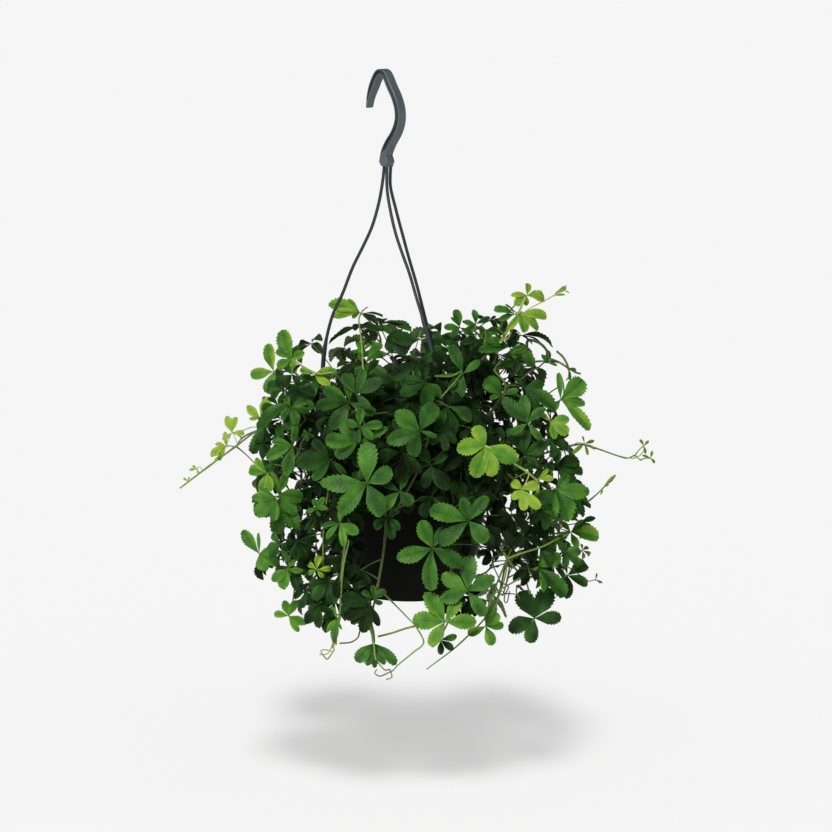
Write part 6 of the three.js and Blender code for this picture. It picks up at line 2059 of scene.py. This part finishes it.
soil_rng = np.random.default_rng(SEED)
peat = soil_material("potting_soil_dark_peat", "#120c08", "#3a2a1c")
white_grain = soil_material("perlite_white_grains", "#b9b5ab", "#e9e6de")
ground = plain_part(*soil_shape(soil_rng))
perlite = crumbs(60, 1.5, soil_rng)
perlite["finish"] = 1
soil_parts = [ground, crumbs(420, 2.0, soil_rng), perlite]
make_piece("soil_crumbly", soil_parts, [peat, white_grain], ["soil"])
print("triangles in all:", made["triangles"])

# %% [markdown]
# ## The floor
# The plant hangs over a plain pale floor, as in a studio. The floor is wide enough to reach the
# horizon, and a weak glow keeps it evenly bright.

# %% Floor
FLOOR_Z = -590
FLOOR_HALF = 120


def floor_material():
    """Matt paint. A weak glow lifts the floor to the pale grey of the studio."""
    return principled(new_material("floor_matt_paint")[0], {
        "Base Color": linear("#bcbcbc"), "Roughness": 0.9, "Specular IOR Level": 0.0,
        "Emission Color": (1, 1, 1, 1), "Emission Strength": 0.525,
    })


floor_mesh = bpy.data.meshes.new("floor")
sides = ((-1, -1), (1, -1), (1, 1), (-1, 1))
corners = [(x * FLOOR_HALF, y * FLOOR_HALF, FLOOR_Z * MM) for x, y in sides]
floor_mesh.from_pydata(corners, [], [(0, 1, 2, 3)])
floor_mesh.materials.append(floor_material())
floor = bpy.data.objects.new("floor", floor_mesh)
bpy.context.collection.objects.link(floor)
print("floor", 2 * FLOOR_HALF, "m wide")

# %% [markdown]
# ## Light
# The shadow on the floor is soft, and smaller than one lamp over the whole plant would throw. So the
# plant and the floor are lit apart, with light linking. A wide lamp in front lights everything but
# the floor. Three wide lamps above, each leaning to the front by its own share, light only the
# floor, and only the pot, the soil and the middle vines throw shadows in them. A weak light from all
# sides reaches everything.

# %% Light
SKY_STRENGTH = 0.14
FRONT_STRENGTH = 2.85
FRONT_SPREAD = 20
TOP_STRENGTH = 2.05
TOP_SPREAD = 16
TOP_LEANS = (-0.31, -0.2, -0.09)
SHADOW_CASTERS = (
    "pot_", "soil_", "leafy_inner", "leafy_front", "leafy_top", "leafy_left_middle", "leafy_left_low",
    "leafy_right_middle", "leafy_right_low", "leafy_back_1", "leafy_back_2", "leafy_back_5",
    "leafy_back_6",
)
world = bpy.data.worlds.new("studio")
world.use_nodes = True
sky = world.node_tree.nodes["Background"]
sky.inputs[0].default_value = (1, 1, 1, 1)
sky.inputs[1].default_value = SKY_STRENGTH
bpy.context.scene.world = world
bpy.context.scene.view_settings.view_transform = "Standard"


def collection_of(name, members, state="INCLUDE"):
    """A collection for light linking, whose members are all included or all left out."""
    group = bpy.data.collections.new(name)
    for member in members:
        group.objects.link(member)
    for entry in group.collection_objects:
        entry.light_linking.link_state = state
    return group


def wide_sun(name, toward, strength, spread, lit, casting=None):
    """A sun whose light comes from the direction toward, spread over that many degrees. It lights
    the collection lit, and the collection casting throws its shadows."""
    data = bpy.data.lights.new(name, "SUN")
    data.energy = strength
    data.angle = math.radians(spread)
    sun = bpy.data.objects.new(name, data)
    sun.rotation_euler = (-Vector(toward)).to_track_quat("-Z", "Y").to_euler()
    bpy.context.collection.objects.link(sun)
    sun.light_linking.receiver_collection = lit
    if casting:
        sun.light_linking.blocker_collection = casting


casters = [piece for piece in bpy.data.objects if piece.name.startswith(SHADOW_CASTERS)]
lit_floor = collection_of("lit_by_top_lamps", [floor])
shadow_casters = collection_of("shadow_casters", casters)
all_but_floor = collection_of("lit_by_front_lamp", [floor], "EXCLUDE")
wide_sun("front_lamp", (-0.3, -1.0, 0.8), FRONT_STRENGTH, FRONT_SPREAD, all_but_floor)
for number, lean in enumerate(TOP_LEANS):
    strength = TOP_STRENGTH / len(TOP_LEANS)
    wide_sun(f"top_lamp_{number}", (-0.03, lean, 1.0), strength, TOP_SPREAD, lit_floor, shadow_casters)
print("pieces that cast the floor's shadow:", len(casters))

# %% [markdown]
# ## Camera
# The camera stands at the eye of the front view, 2.2 m away, and looks down by ten degrees. Its
# focal length in pixels of the picture fixes how large everything is seen.

# %% Camera
FOCAL_PIXELS = 2500
PICTURE_PIXELS = 832
SENSOR_WIDTH = 36
camera_data = bpy.data.cameras.new("camera")
camera_data.sensor_width = SENSOR_WIDTH
camera_data.lens = FOCAL_PIXELS / PICTURE_PIXELS * SENSOR_WIDTH
camera = bpy.data.objects.new("camera", camera_data)
camera.location = EYE * MM
camera.rotation_euler = (math.radians(90 - VIEW_TILT), 0, 0)
bpy.context.collection.objects.link(camera)
bpy.context.scene.camera = camera
print("lens:", round(camera_data.lens, 2), "mm")
